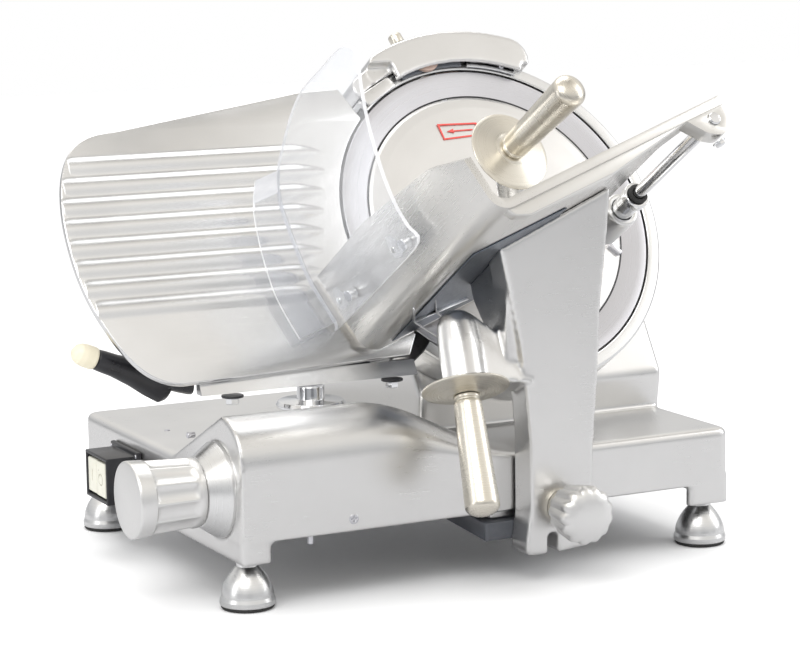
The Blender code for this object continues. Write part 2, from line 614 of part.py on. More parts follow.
corner_out = rounded([(-7, 80), (-7, -8), (243, -8), (243, 0), (0, 0), (0, 80)], [3, 16, 2, 2, 10, 3], 5)
tray = plate("carriage_tray", [corner_out], TRAY_FAR, TRAY_NEAR, tray_frame, finish="cast")
beside = rounded([(196, -40), (196, 236), (212, 258), (250, 262), (320, 262), (320, -40)],
                 [0, 16, 10, 0, 0, 0], 4)
floor_trim = plate("floor_trim", [beside], -30, 30, tray_frame, turn=(pi / 2, 0, 0), tool=True)
near_side = rounded([(200, -1.5), (200, -7), (212, -24), (226, -33), (243, -20), (242, -1.5)],
                    [0, 4, 8, 14, 12, 0], 4)
near_lug = plate("near_lug", [near_side], 264, TRAY_NEAR - 1, tray_frame, tool=True)
far_side = rounded([(180, -1.5), (180, -7), (214, -28), (238, -28), (240, -1.5)], [0, 2, 8, 10, 0], 4)
far_lug = plate("far_lug", [far_side], TRAY_FAR + 1, 14, tray_frame, tool=True)
slope = [(112, 73.5), (194, 64.5), (232, 60), (TRAY_NEAR + 10, 40)]
above = [(-20, 74)] + slope + [(TRAY_NEAR + 10, 200), (-20, 200)]
trim = plate("wall_trim", [[(-z, y) for z, y in above]], -30, 30, tray_frame, turn=(0, pi / 2, 0),
             tool=True)
cut(tray, floor_trim, trim)
join(tray, near_lug, far_lug)
cut(tray, turned("rod_seat", [(0, 400), (5.8, 400), (5.8, 4.5), (0, 4.5)], tray_frame, (*ROD, 0), tool=True,
                 steps=24))

# ---------------------------------------------------------------- hand guard

SHEET = (-19.5, -16.0)
LIP_REACH = -40.0               # the guard's far edge is bent this far away from the blade, over the gauge
guard_near = [(184, 158), (182, 194), (180, 230), (178.5, 241), (174, 250), (167, 255), (161, 252), (144, 234),
              (123, 216), (98, 200), (73, 188), (55, 182), (30, 181), (22, 178), (21, 170), (22.5, 81)]
guard_far = [(24, 8), (27, 5), (60, 6), (77, 8), (100, 17), (120, 26), (141, 36), (158, 60), (171, 97),
             (180, 130)]


def guard_plate(name, outline, low, high, **more):
    """A plate whose outline is given as (up the tray's wall, out of the blade's plane)."""
    flat = [(-d, e) for e, d in outline]
    return plate(name, [flat], low, high, tray_frame, turn=(0, pi / 2, 0), **more)


def inward(points, distance):
    """The same line moved sideways into the sheet."""
    moved = []
    for k, (e, d) in enumerate(points):
        before = points[max(k - 1, 0)]
        after = points[min(k + 1, len(points) - 1)]
        step = Vector((after[0] - before[0], after[1] - before[1])).normalized()
        moved.append((e - step.y * distance, d + step.x * distance))
    return moved


bend_line = guard_far[1:8]
guard = guard_plate("hand_guard", guard_near + guard_far, *SHEET, finish="clear")
lip = bend_line + inward(bend_line, SHEET[1] - SHEET[0])[::-1]
join(guard, guard_plate("guard_lip", lip, LIP_REACH, SHEET[1] - 0.4, tool=True))
for number, (e, d) in enumerate(((38, 42), (32, 154)), 1):
    screw_head("guard_bolt_%d" % number, tray_frame, (SHEET[0] - GAP, e, d), BACK_X, 7.0, 5.0)

# ---------------------------------------------------------------- handles

def grip_profile(base_radius, tip_radius, length):
    """A straight grip that widens to a domed end."""
    points = []
    for k in range(5):
        a = pi / 2 * k / 4
        points.append((tip_radius * sin(a), length - tip_radius * 0.62 * (1 - cos(a))))
    points.append((base_radius + 0.3, 12))
    points.append((base_radius, 9))
    points.append((base_radius - 2.5, 8))
    points.append((base_radius - 2.5, 5))
    points.append((base_radius, 4.5 + GAP))
    points.append((0, 4.5 + GAP))
    return points


FLANGE = [(0, 4.5), (14, 4.5), (36, -0.6), (36.6, -2.6), (16, -0.3), (0, -0.3)]
down = frame("handle_down", handle_frame, (0, 0, 0), (pi, 0, 0))
turned("handle_flange", [(r, z + 0.3) for r, z in FLANGE], down, (0, 0, 0.3), finish="nickel", steps=32)
turned("handle_grip", grip_profile(11.5, 14.5, 108), down, (0, 0, 0.6), finish="nickel", steps=24)

stud_hole = turned("stud_hole", [(0, 5), (6.3, 5), (6.3, -40), (0, -40)], at=(266, ARM_FRONT, 64),
                   turn=FRONT_Y,
                   tool=True, steps=20)
cut(arm, stud_hole)
turned("lock_stud", [(0, 9.7), (6, 9.7), (6, -28.7), (0, -28.7)], at=(266, ARM_FRONT, 64), turn=FRONT_Y,
       finish="steel", steps=20)
lobed("lock_knob", [(10, 15, 0), (10.5, 20, 0.5), (36, 25.5, 2.6), (42, 24, 1.4), (46, 16, 0.2),
                    (48, 6, 0)], 13,
      at=(266, ARM_FRONT, 64), turn=FRONT_Y, finish="polished", per_lobe=4)
turned("lock_collar", [(6.3, 9.7), (14, 9.7), (15, 8), (15, GAP), (6.3, GAP)], at=(266, ARM_FRONT, 64),
       turn=FRONT_Y,
       finish="steel", steps=24)

# ---------------------------------------------------------------- pusher

turned("pusher_rod", [(0, TRAY_NEAR + 1), (5.5, TRAY_NEAR + 1), (5.5, 4.8), (0, 4.8)], tray_frame,
       (*ROD, 0), finish="chrome", steps=24)
turned("rod_sleeve", [(5.8, 140), (12, 140), (12, 132), (10, 131), (10, 69), (12, 68), (12, 62), (5.8, 62)],
       tray_frame, (*ROD, 0), finish="chrome", steps=20)
turned("sleeve_seal", [(5.8, 143.5), (7.6, 143.5), (9, 142), (9, 140 + GAP), (5.8, 140 + GAP)], tray_frame,
       (*ROD, 0), finish="rubber", steps=24)
pusher = plate("pusher_plate", [rounded([(12, 3), (224, 3), (224, 28), (206, 32), (12, 30)], 3, 3)], 69,
               75, tray_frame, finish="cast")
hub = turned("pusher_hub", [(0, 112), (15, 112), (15.6, 110), (15.6, 71), (0, 71)], tray_frame,
             (*ROD, 0), tool=True, steps=28)
shank = box("pusher_shank", (205, -14, 70), (222, 26, 88), tray_frame, tool=True)
FLANGE_AT = (146.0, 69.7, 130.0)
post_sections = []
for t in (0, 0.33, 0.67, 1.0):
    centre = Vector((152, 18, 73)).lerp(Vector((FLANGE_AT[0] - 1, FLANGE_AT[1], FLANGE_AT[2] - 1)), t)
    centre.y += 10 * sin(pi * t)
    radius = 15 - 3 * t
    post_sections.append([(centre.x + radius * cos(2 * pi * k / 16),
                           centre.y + radius * sin(2 * pi * k / 16) * (0.7 + 0.3 * t), centre.z)
                          for k in range(16)])
pusher_post = loft("pusher_post", post_sections, tray_frame, tool=True)
join(pusher, hub, shank, pusher_post)
cut(pusher, turned("sleeve_way", [(0, 200), (10.3, 200), (10.3, 40), (0, 40)], tray_frame, (*ROD, 0),
                   tool=True,
                   steps=28))
pusher_handle = frame("pusher_handle", tray_frame, FLANGE_AT, (0, radians(6), 0))
turned("pusher_flange", [(r, z + 0.6) for r, z in FLANGE], pusher_handle, finish="nickel", steps=32)
turned("pusher_grip", grip_profile(11.5, 14.8, 108), pusher_handle, (0, 0, 0.6), finish="nickel", steps=24)

# ---------------------------------------------------------------- sharpener

def sector(inner, outer, start, end, count=10):
    return arc((0, 0), outer, start, end, count) + arc((0, 0), inner, end, start, count)


housing = plate("sharpener_housing", [sector(RING_RADIUS + GAP, 186, 64, 122)], -38, 12, blade_frame,
                finish="cast",
                round_to=4)
join(housing, plate("sharpener_leg", [sector(RING_RADIUS + 1, 176, 118, 129.5, 6)], -38, -4, blade_frame,
                    tool=True))
join(housing, plate("sharpener_lip", [sector(154, 170, 66, 118)], 1.2, 12, blade_frame, tool=True))
cut(housing, plate("stone_space", [sector(140, 181, 78, 112)], -31, -6.2, blade_frame, tool=True),
    plate("front_stone_space", [sector(140, 181, 84, 108)], -6.5, 8, blade_frame, tool=True))
STONE_AT = RING_RADIUS + 2
for name, angle, face, over, shaft, cap in (("grinding_stone", 90, -7, 0, 38, 5),
                                            ("deburring_stone", 101, 2.6, pi, 12, 4)):
    where = (STONE_AT * cos(radians(angle)), STONE_AT * sin(radians(angle)), face)
    profile = [(0, 0), (13, 0), (14, -1), (14, -4.5), (3, -5), (3, -shaft), (7, -shaft - 0.5),
               (7, -shaft - cap), (0, -shaft - cap)]
    turned(name, profile, blade_frame, where, (over, 0, 0), "stone", steps=20)
    cut(housing, turned(name + "_bore", [(0, 0), (3.5, 0), (3.5, -60), (0, -60)], blade_frame, where,
                        (over, 0, 0), tool=True, steps=20))
cut(ring, plate("ring_stone_gap", [sector(150, 172, 82, 99)], -45, -5, blade_frame, tool=True))
knob_angle = radians(104)
knob_frame = frame("sharpener_knob_frame", blade_frame,
                   (186.3 * cos(knob_angle), 186.3 * sin(knob_angle), -8),
                   (-pi / 2, 0, knob_angle - pi / 2))
turned("sharpener_knob", [(0, 14), (5.5, 14), (6.5, 13), (6.5, 3.5), (9.5, 3), (10, 1.5), (10, 0.3),
                          (0, 0.3)],
       knob_frame, finish="steel", steps=20)
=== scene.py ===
"""The looks of a gravity-feed deli meat slicer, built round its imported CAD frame.

Lengths are millimetres unless a name says otherwise. Every piece is made in one of three frames, which
are worked out from the record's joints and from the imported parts:
  MACHINE  X along the carriage's travel, Y to the back, Z up, origin under the near left foot
  BLADE    at the blade's centre, X as above, Y up the blade's plane, Z out of it
  TRAY     X along the tray's floor, Y up its wall, Z out of the blade's plane
"""
import json
from math import atan2, cos, degrees, pi, radians, sin

import bmesh
import bpy
from mathutils import Euler, Matrix, Vector


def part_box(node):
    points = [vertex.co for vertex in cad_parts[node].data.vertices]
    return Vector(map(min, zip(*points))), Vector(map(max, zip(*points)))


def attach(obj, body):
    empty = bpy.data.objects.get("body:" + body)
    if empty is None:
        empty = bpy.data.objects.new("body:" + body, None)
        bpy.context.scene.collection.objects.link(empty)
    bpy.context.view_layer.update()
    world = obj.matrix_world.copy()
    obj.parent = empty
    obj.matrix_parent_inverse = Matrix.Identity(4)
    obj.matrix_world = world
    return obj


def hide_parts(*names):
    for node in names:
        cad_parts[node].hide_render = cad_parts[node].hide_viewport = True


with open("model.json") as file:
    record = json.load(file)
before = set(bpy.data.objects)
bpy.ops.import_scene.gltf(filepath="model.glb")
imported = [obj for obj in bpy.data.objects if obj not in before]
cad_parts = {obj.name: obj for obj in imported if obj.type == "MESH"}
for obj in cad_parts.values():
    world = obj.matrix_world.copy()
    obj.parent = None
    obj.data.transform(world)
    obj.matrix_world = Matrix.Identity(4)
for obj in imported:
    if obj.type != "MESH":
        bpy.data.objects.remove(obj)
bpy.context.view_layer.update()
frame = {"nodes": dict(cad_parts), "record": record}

MM = 0.001
FLOOR_SLOPE = radians(19.7)               # the tray's floor against the carriage's travel
BLADE_R, COVER_R, RING_R = 150.0, 124.0, 163.5
BASE_LEFT, BASE_RIGHT, BASE_FRONT, BASE_BACK = -14.0, 456.0, -24.0, 345.0
BASE_TOP, BASE_SKIRT, LEG_BOTTOM, WALL = 107.0, 57.0, 39.0, 6.0
INDEX_AXIS = (28.0, 94.0)                 # (y, z) of the thickness knob's axis
POST = (95.0, 75.0)                       # (x, y) of the post under the gauge
SWITCH = (228.0, 70.0)                    # (y, z) of the switch's middle
FOOT_SPACING = (440.0, 325.0)
ARM_FRONT, ARM_BACK = -56.0, -27.0
LOCK = (266.0, ARM_FRONT, 64.0)           # where the lock knob's stud leaves the arm
TRAY_FAR, TRAY_NEAR = 4.0, 280.0          # the tray's ends, out of the blade's plane
ROD = (226.0, -16.0)                      # the pusher's rod, along the tray's floor and up its wall
GAUGE_FACE, GAUGE_BACK = -2.6, -8.6       # the gauge plate, out of the blade's plane
RIBS, RIB_TOP, RIB_PITCH, RIB_HEIGHT = 8, 77.5, 19.1, 1.9
HOOD_R, HOOD_FACE, HOOD_BACK = 186.0, 12.0, -38.0
TIE_END = 199.0                           # the cover knob's distance behind the blade
SHEET = (-19.5, -16.0)                    # the clear guard, beside the tray's wall

# ---------------------------------------------------------------- frames

joints = {joint["name"]: joint for joint in frame["record"]["behaviour"]["joints"]}
foot_low, foot_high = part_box("foot_1")
MACHINE = Matrix.Translation(((foot_low[0] + foot_high[0]) / 2, (foot_low[1] + foot_high[1]) / 2, 0))


def axes(origin, x, y, z):
    """A frame from its origin and its three axes."""
    columns = Matrix((x, y, z)).transposed().to_4x4()
    return Matrix.Translation(origin) @ columns


out = Vector(joints["blade_spin"]["axis"]).normalized()
along = Vector((1, 0, 0))
up_blade = out.cross(along)
BLADE = axes(Vector(joints["blade_spin"]["pos_m"]) + out * 7 * MM, along, up_blade, out)
floor_way = along * cos(FLOOR_SLOPE) + up_blade * sin(FLOOR_SLOPE)
wall_way = out.cross(floor_way)
rod_point = Vector(joints["pusher_swing"]["pos_m"])
TRAY = axes(rod_point - (floor_way * ROD[0] + wall_way * ROD[1] + out * 100) * MM, floor_way, wall_way, out)


def spot(parent, at=(0, 0, 0), turn=(0, 0, 0)):
    """A frame inside another: at in millimetres, turn in radians."""
    return parent @ Matrix.Translation([v * MM for v in at]) @ Euler(turn).to_matrix().to_4x4()


TO_RIGHT = (0, pi / 2, 0)
TO_LEFT = (0, -pi / 2, 0)
TO_FRONT = (pi / 2, 0, 0)
TO_BACK = (-pi / 2, 0, 0)
FLIP = (pi, 0, 0)
SIDEWAYS = (pi / 2, 0, pi / 2)

# ---------------------------------------------------------------- outlines


def arc(centre, radius, start, end, count):
    """Points along an arc, with its ends in degrees."""
    angles = [radians(start + (end - start) * i / (count - 1)) for i in range(count)]
    return [(centre[0] + radius * cos(a), centre[1] + radius * sin(a)) for a in angles]


def circle(centre, radius, count=64):
    return arc(centre, radius, 0, 360 * (count - 1) / count, count)


def polar(radius, angle):
    """A point from its distance and its direction in degrees."""
    return radius * cos(radians(angle)), radius * sin(radians(angle))


def oblong(low, high, radius, count=8):
    """A rectangle between two corners, rounded."""
    return rounded([low, (high[0], low[1]), high, (low[0], high[1])], radius, count)


def full_turn(count):
    """Equal steps round a full turn, in radians."""
    return [2 * pi * k / count for k in range(count)]


def rounded(points, radius, count=8, closed=True):
    """A polygon with its corners rounded, by one radius or by one for each corner."""
    radii = radius if isinstance(radius, (list, tuple)) else [radius] * len(points)
    outline = []
    for i, here in enumerate(points):
        corner = Vector(here)
        last = i == 0 or i == len(points) - 1
        if not radii[i] or (last and not closed):
            outline.append(tuple(corner))
            continue
        before = Vector(points[i - 1]) - corner
        after = Vector(points[(i + 1) % len(points)]) - corner
        room = 0.49 * min(before.length, after.length)
        before.normalize()
        after.normalize()
        half = before.angle(after) / 2
        if half > radians(89.5):
            outline.append(tuple(corner))
            continue
        slope = sin(half) / cos(half)
        r = min(radii[i], room * slope)
        centre = corner + (before + after).normalized() * (r / sin(half))
        first = corner + before * (r / slope) - centre
        end = corner + after * (r / slope) - centre
        start = atan2(first.y, first.x)
        sweep = (atan2(end.y, end.x) - start + pi) % (2 * pi) - pi
        for k in range(count):
            a = start + sweep * k / (count - 1)
            outline.append((centre.x + r * cos(a), centre.y + r * sin(a)))
    return outline


def flowing(points, steps=6):
    """A closed smooth curve through the points."""
    outline = []
    total = len(points)
    for i in range(total):
        p0, p1, p2, p3 = (Vector(points[(i + k - 1) % total]) for k in range(4))
        for s in range(steps):
            t = s / steps
            p = 0.5 * (2 * p1 + (p2 - p0) * t + (2 * p0 - 5 * p1 + 4 * p2 - p3) * t * t
                       + (3 * p1 - p0 - 3 * p2 + p3) * t ** 3)
            outline.append(tuple(p))
    return outline


def sector(inner, outer, start, end, count=40):
    """A piece of a ring between two angles in degrees."""
    return arc((0, 0), outer, start, end, count) + arc((0, 0), inner, end, start, count)


# ---------------------------------------------------------------- meshes


def shaded(mesh, sharp=32):
    """Smooth shading, with edges above an angle in degrees kept sharp."""
    mesh.shade_smooth()
    mesh.set_sharp_from_angle(angle=radians(sharp))
    return mesh


def thing(name, bm, where, sharp=32):
    """An object from a bmesh in millimetres, placed in a frame."""
    bmesh.ops.recalc_face_normals(bm, faces=bm.faces)
    bmesh.ops.scale(bm, vec=(MM, MM, MM), verts=bm.verts)
    mesh = bpy.data.meshes.new(name)
    bm.to_mesh(mesh)
    bm.free()
    obj = bpy.data.objects.new(name, shaded(mesh, sharp))
    bpy.context.scene.collection.objects.link(obj)
    obj.matrix_world = where
    return obj


def lathe(name, profile, where, steps=96, fillet=0.8, sharp=32):
    """A solid of revolution about Z, with its profile's corners softened."""
    hollow = profile[0][0] > 0
    bm = bmesh.new()
    rings = []
    for radius, height in rounded(profile, fillet, 4, closed=hollow):
        turns = full_turn(steps) if radius > 1e-6 else [0]
        rings.append([bm.verts.new((radius * cos(a), radius * sin(a), height)) for a in turns])
    pairs = list(zip(rings, rings[1:]))
    if hollow:
        pairs.append((rings[-1], rings[0]))
    for one, two in pairs:
        for i in range(steps):
            j = (i + 1) % steps
            if len(one) == 1 and len(two) == 1:
                continue
            if len(one) == 1:
                bm.faces.new((one[0], two[j], two[i]))
            elif len(two) == 1:
                bm.faces.new((one[i], one[j], two[0]))
            else:
                bm.faces.new((one[i], one[j], two[j], two[i]))
    bmesh.ops.remove_doubles(bm, verts=bm.verts, dist=1e-4)
    return thing(name, bm, where, sharp)


def pin(name, radius, high, low, where, steps=96, fillet=0.8):
    """A plain round bar, for holes and short shafts."""
    return lathe(name, [(0, high), (radius, high), (radius, low), (0, low)], where, steps, fillet)


def loft(name, sections, where, sharp=32):
    """A closed solid through sections with equal numbers of points."""
    bm = bmesh.new()
    rings = [[bm.verts.new(point) for point in section] for section in sections]
    for one, two in zip(rings, rings[1:]):
        for i in range(len(one)):
            j = (i + 1) % len(one)
            bm.faces.new((one[i], one[j], two[j], two[i]))
    bm.faces.new(rings[0])
    bm.faces.new(list(reversed(rings[-1])))
    return thing(name, bm, where, sharp)


def lobed(name, stations, lobes, where, per_lobe=16, scoop=0.0):
    """A round knob with flutes.

    Stations are (height, radius, depth of flute). A scoop is a flute's share of its pitch, and without
    one the flutes are soft waves.
    """
    sections = []
    for height, radius, depth in stations:
        ring = []
        for a in full_turn(lobes * per_lobe):
            flute = 1 - (0.5 - 0.5 * cos(lobes * a)) ** 0.6
            if scoop:
                across = abs((lobes * a / (2 * pi)) % 1 - 0.5) * 2
                flute = max(0.0, 1 - (across / scoop) ** 2) ** 0.8
            r = radius - depth * flute
            ring.append((r * cos(a), r * sin(a), height))
        sections.append(ring)
    return loft(name, sections, where, 40)


def plate(name, loops, low, high, where):
    """A flat outline with holes, from height low to high along Z."""
    curve = bpy.data.curves.new(name, "CURVE")
    curve.dimensions = "2D"
    curve.fill_mode = "BOTH"
    curve.extrude = (high - low) / 2 * MM
    for loop in loops:
        spline = curve.splines.new("POLY")
        spline.points.add(len(loop) - 1)
        for point, (x, y) in zip(spline.points, loop):
            point.co = (x * MM, y * MM, 0, 1)
        spline.use_cyclic_u = True
    flat = bpy.data.objects.new(name, curve)
    bpy.context.scene.collection.objects.link(flat)
    bpy.context.view_layer.update()
    mesh = bpy.data.meshes.new_from_object(flat.evaluated_get(bpy.context.evaluated_depsgraph_get()))
    bpy.data.objects.remove(flat)
    bm = bmesh.new()
    bm.from_mesh(mesh)
    bmesh.ops.remove_doubles(bm, verts=bm.verts, dist=1e-6)
    bmesh.ops.dissolve_limit(bm, angle_limit=0.001, verts=bm.verts, edges=bm.edges)
    bmesh.ops.scale(bm, vec=(1 / MM, 1 / MM, 1 / MM), verts=bm.verts)
    bmesh.ops.translate(bm, verts=bm.verts, vec=(0, 0, (low + high) / 2))
    return thing(name, bm, where)


def box(name, low, high, where):
    """A block between two corners."""
    bm = bmesh.new()
    bmesh.ops.create_cube(bm, size=1.0)
    for vert in bm.verts:
        for i in range(3):
            vert.co[i] = low[i] + (vert.co[i] + 0.5) * (high[i] - low[i])
    return thing(name, bm, where)


def baked(obj):
    """Apply an object's modifiers to its mesh."""
    bpy.context.view_layer.update()
    mesh = bpy.data.meshes.new_from_object(obj.evaluated_get(bpy.context.evaluated_depsgraph_get()))
    obj.modifiers.clear()
    obj.data = mesh
    return obj


def combine(obj, operation, others):
    """Boolean obj with other objects, which are used up."""
    for other in others:
        modifier = obj.modifiers.new("boolean", "BOOLEAN")
        modifier.operation = operation
        modifier.solver = "EXACT"
        modifier.object = other
    baked(obj)
    for other in others:
        bpy.data.objects.remove(other)
    return obj


def joined(obj, *others):
    return combine(obj, "UNION", others)


def cut(obj, *others):
    return combine(obj, "DIFFERENCE", others)


def softened(obj, width, segments=3, angle=35, sharp=32):
    """Round an object's sharp edges by width."""
    modifier = obj.modifiers.new("edges", "BEVEL")
    modifier.width = width * MM
    modifier.segments = segments
    modifier.limit_method = "ANGLE"
    modifier.angle_limit = radians(angle)
    modifier.use_clamp_overlap = True
    baked(obj)
    shaded(obj.data, sharp)
    return obj


def cast(obj, voxel, rounds, keep=0.5):
    """Give a joined solid the soft, continuous skin of a casting."""
    remesh = obj.modifiers.new("skin", "REMESH")
    remesh.mode = "VOXEL"
    remesh.voxel_size = voxel * MM
    smooth = obj.modifiers.new("smooth", "SMOOTH")
    smooth.factor = keep
    smooth.iterations = rounds
    baked(obj)
    obj.data.shade_smooth()
    return obj


# ---------------------------------------------------------------- materials


def add_node(tree, kind, inputs=(), **settings):
    """A new node, with its settings made and its inputs linked or set."""
    node = tree.nodes.new(kind)
    for key, value in settings.items():
        setattr(node, key, value)
    for key, value in dict(inputs).items():
        if isinstance(value, bpy.types.NodeSocket):
            tree.links.new(value, node.inputs[key])
        else:
            node.inputs[key].default_value = value
    return node


class Nodes:
    """A material's node tree, with short calls for the nodes used here."""

    def __init__(self, name, **sockets):
        self.material = bpy.data.materials.new(name)
        self.material.use_nodes = True
        self.tree = self.material.node_tree
        self.shader = self.tree.nodes["Principled BSDF"]
        for socket, value in sockets.items():
            self.shader.inputs[socket.replace("_", " ")].default_value = value
        self.place = self.tree.nodes.new("ShaderNodeTexCoord").outputs["Object"]

    def add(self, kind, inputs=(), **settings):
        return add_node(self.tree, kind, inputs, **settings)

    def math(self, operation, *values):
        return self.add("ShaderNodeMath", dict(enumerate(values)), operation=operation).outputs[0]

    def stretched(self, scale, turn=(0, 0, 0)):
        inputs = {"Vector": self.place, "Scale": scale, "Rotation": turn}
        return self.add("ShaderNodeMapping", inputs).outputs["Vector"]

    def noise(self, vector, scale, detail=4.0, rough=0.55):
        inputs = {"Vector": vector, "Scale": scale, "Detail": detail, "Roughness": rough}
        return self.add("ShaderNodeTexNoise", inputs).outputs["Fac"]

    def spread(self, value, low, high):
        """A noise's useful range, 0.3 to 0.7, spread over another range."""
        inputs = {"Value": value, "From Min": 0.3, "From Max": 0.7, "To Min": low, "To Max": high}
        return self.add("ShaderNodeMapRange", inputs).outputs["Result"]

    def blend(self, factor, one, two):
        inputs = {0: factor, 6: (*one, 1), 7: (*two, 1)}
        return self.add("ShaderNodeMix", inputs, data_type="RGBA").outputs[2]

    def bump(self, height, distance, strength=1.0, normal=None):
        inputs = {"Height": height, "Distance": distance * MM, "Strength": strength}
        if normal is not None:
            inputs["Normal"] = normal
        return self.add("ShaderNodeBump", inputs).outputs["Normal"]

    def into(self, socket, value):
        self.tree.links.new(value, self.shader.inputs[socket])


def brushed(name, dark, light, rough, grain, depth):
    """Satin metal: fine scratches along one direction, patchy polish, and a hand finish's waviness."""
    n = Nodes(name, Metallic=1.0)
    scratches = n.noise(n.stretched(grain), 1.0, 6.0, 0.7)
    patches = n.noise(n.place, 9.0, 4.0, 0.55)
    cloud = n.noise(n.place, 6.0, 1.0)
    n.into("Base Color", n.blend(n.spread(patches, 0, 1), dark, light))
    n.into("Roughness", n.math("ADD", n.spread(scratches, *rough), n.spread(patches, -0.03, 0.03)))
    n.into("Normal", n.bump(scratches, depth, 0.2, n.bump(cloud, 0.2, 0.2)))
    return n.material


def turned_metal(name, dark, light, rough, depth, rings=1800.0):
    """Metal finished on a lathe: fine rings round the piece's own Z axis."""
    n = Nodes(name, Metallic=1.0)
    flat = n.add("ShaderNodeVectorMath", {0: n.place, 1: (1, 1, 0)}, operation="MULTIPLY").outputs["Vector"]
    radius = n.add("ShaderNodeVectorMath", {0: flat}, operation="LENGTH").outputs["Value"]
    height = n.add("ShaderNodeSeparateXYZ", {0: n.place}).outputs["Z"]
    ring = n.add("ShaderNodeCombineXYZ", {0: radius, 1: height}).outputs["Vector"]
    lines = n.noise(ring, rings, 3.0, 0.6)
    patches = n.noise(n.place, 14.0, 3.0)
    n.into("Base Color", n.blend(n.spread(patches, 0, 1), dark, light))
    n.into("Roughness", n.spread(lines, *rough))
    n.into("Normal", n.bump(lines, depth, 0.4))
    return n.material


def moulded(name, dark, light, rough, grain=600.0, depth=0.05):
    """Moulded plastic or rubber: a fine even texture and slight wear."""
    n = Nodes(name)
    texture = n.noise(n.place, grain, 3.0)
    wear = n.noise(n.place, 30.0, 5.0, 0.65)
    n.into("Base Color", n.blend(n.spread(wear, 0, 1), dark, light))
    n.into("Roughness", n.spread(wear, *rough))
    n.into("Normal", n.bump(texture, depth, 0.4))
    return n.material


def clear_sheet(name, tint, body, gloss):
    """Clear acrylic: light goes straight through, with more mirror at a glance and a faint haze."""
    n = Nodes(name, Roughness=gloss, IOR=1.49)
    haze = n.noise(n.stretched((30, 160, 30)), 1.0, 5.0, 0.6)
    wipe = n.noise(n.stretched((300, 20, 20), (0, 0, 0.5)), 1.0, 3.0, 0.6)
    n.into("Base Color", n.blend(n.spread(haze, 0, 1), (0.86, 0.87, 0.89), (0.97, 0.97, 0.98)))
    n.into("Roughness", n.spread(wipe, gloss, gloss + 0.06))
    through = n.add("ShaderNodeBsdfTransparent", {"Color": (*tint, 1)})
    edge = n.add("ShaderNodeLayerWeight", {"Blend": 0.35}).outputs["Facing"]
    share = n.math("MULTIPLY_ADD", n.math("POWER", edge, 3.0), 0.75, body)
    cloud = n.math("ADD", share, n.spread(haze, 0.0, 0.05))
    mix = n.add("ShaderNodeMixShader", {0: cloud, 1: through.outputs[0], 2: n.shader.outputs[0]})
    n.tree.links.new(mix.outputs[0], n.tree.nodes["Material Output"].inputs["Surface"])
    return n.material


CAST = brushed("cast_aluminium", (0.71, 0.705, 0.695), (0.77, 0.765, 0.755), (0.27, 0.35), (50, 700, 700),
               0.0005)
TRAY_METAL = brushed("tray_aluminium", (0.68, 0.67, 0.65), (0.75, 0.74, 0.715), (0.26, 0.34), (700, 700, 40),
                     0.0003)
PLATE = brushed("gauge_aluminium", (0.74, 0.74, 0.74), (0.80, 0.80, 0.80), (0.20, 0.27), (30, 900, 900),
                0.0004)
SPUN = turned_metal("spun_aluminium", (0.72, 0.72, 0.715), (0.78, 0.78, 0.775), (0.26, 0.34), 0.0005)
KNOB = turned_metal("satin_knob", (0.76, 0.755, 0.745), (0.82, 0.815, 0.80), (0.33, 0.42), 0.001)
SATIN = turned_metal("satin_cover", (0.76, 0.75, 0.735), (0.81, 0.80, 0.785), (0.34, 0.42), 0.001, 900.0)
GROUND = turned_metal("ground_steel", (0.62, 0.62, 0.65), (0.67, 0.67, 0.705), (0.26, 0.34), 0.0015, 2600.0)
CHROME = turned_metal("chrome_plate", (0.74, 0.75, 0.76), (0.82, 0.82, 0.83), (0.06, 0.12), 0.0005, 900.0)
NICKEL = turned_metal("satin_nickel", (0.70, 0.66, 0.58), (0.77, 0.735, 0.655), (0.25, 0.33), 0.001, 1500.0)
STEEL = brushed("sheet_steel", (0.55, 0.56, 0.57), (0.64, 0.64, 0.65), (0.26, 0.38), (40, 900, 900), 0.0005)
# painted shade: a dark copy of the tray's aluminium, for the underside that lies in shadow
PAINTED_SHADE = brushed("painted_shade_underside", (0.12, 0.14, 0.17), (0.19, 0.21, 0.25), (0.30, 0.42), (300, 300, 300), 0.01)
BLACK = moulded("black_plastic", (0.010, 0.010, 0.012), (0.022, 0.022, 0.026), (0.26, 0.38))
PALE = moulded("pale_plastic", (0.62, 0.61, 0.52), (0.70, 0.69, 0.60), (0.25, 0.38), 500.0, 0.01)
GREY = moulded("grey_plastic", (0.10, 0.11, 0.13), (0.16, 0.17, 0.19), (0.18, 0.32), 500.0, 0.01)
RUBBER = moulded("foot_rubber", (0.015, 0.015, 0.015), (0.035, 0.034, 0.033), (0.65, 0.85), 300.0, 0.12)
STONE = moulded("grinding_stone_grit", (0.42, 0.30, 0.25), (0.58, 0.46, 0.40), (0.85, 0.98), 1500.0, 0.3)
PAINT = moulded("machine_paint", (0.055, 0.06, 0.07), (0.10, 0.105, 0.12), (0.3, 0.45), 260.0, 0.03)
CREAM = moulded("cream_plastic", (0.66, 0.60, 0.45), (0.74, 0.69, 0.55), (0.25, 0.36), 500.0, 0.01)
RED = moulded("red_print", (0.66, 0.07, 0.06), (0.76, 0.11, 0.09), (0.4, 0.55), 500.0, 0.01)
CLEAR = clear_sheet("clear_acrylic", (0.955, 0.96, 0.97), 0.09, 0.08)
EDGE = clear_sheet("acrylic_edge", (0.90, 0.90, 0.93), 0.72, 0.16)


def show(obj, body, material, *nodes):
    """Give a piece its material, the body it rides on, and the CAD nodes it stands for."""
    obj.data.materials.clear()
    obj.data.materials.append(material)
    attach(obj, body)
    if nodes:
        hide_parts(*nodes)
    return obj


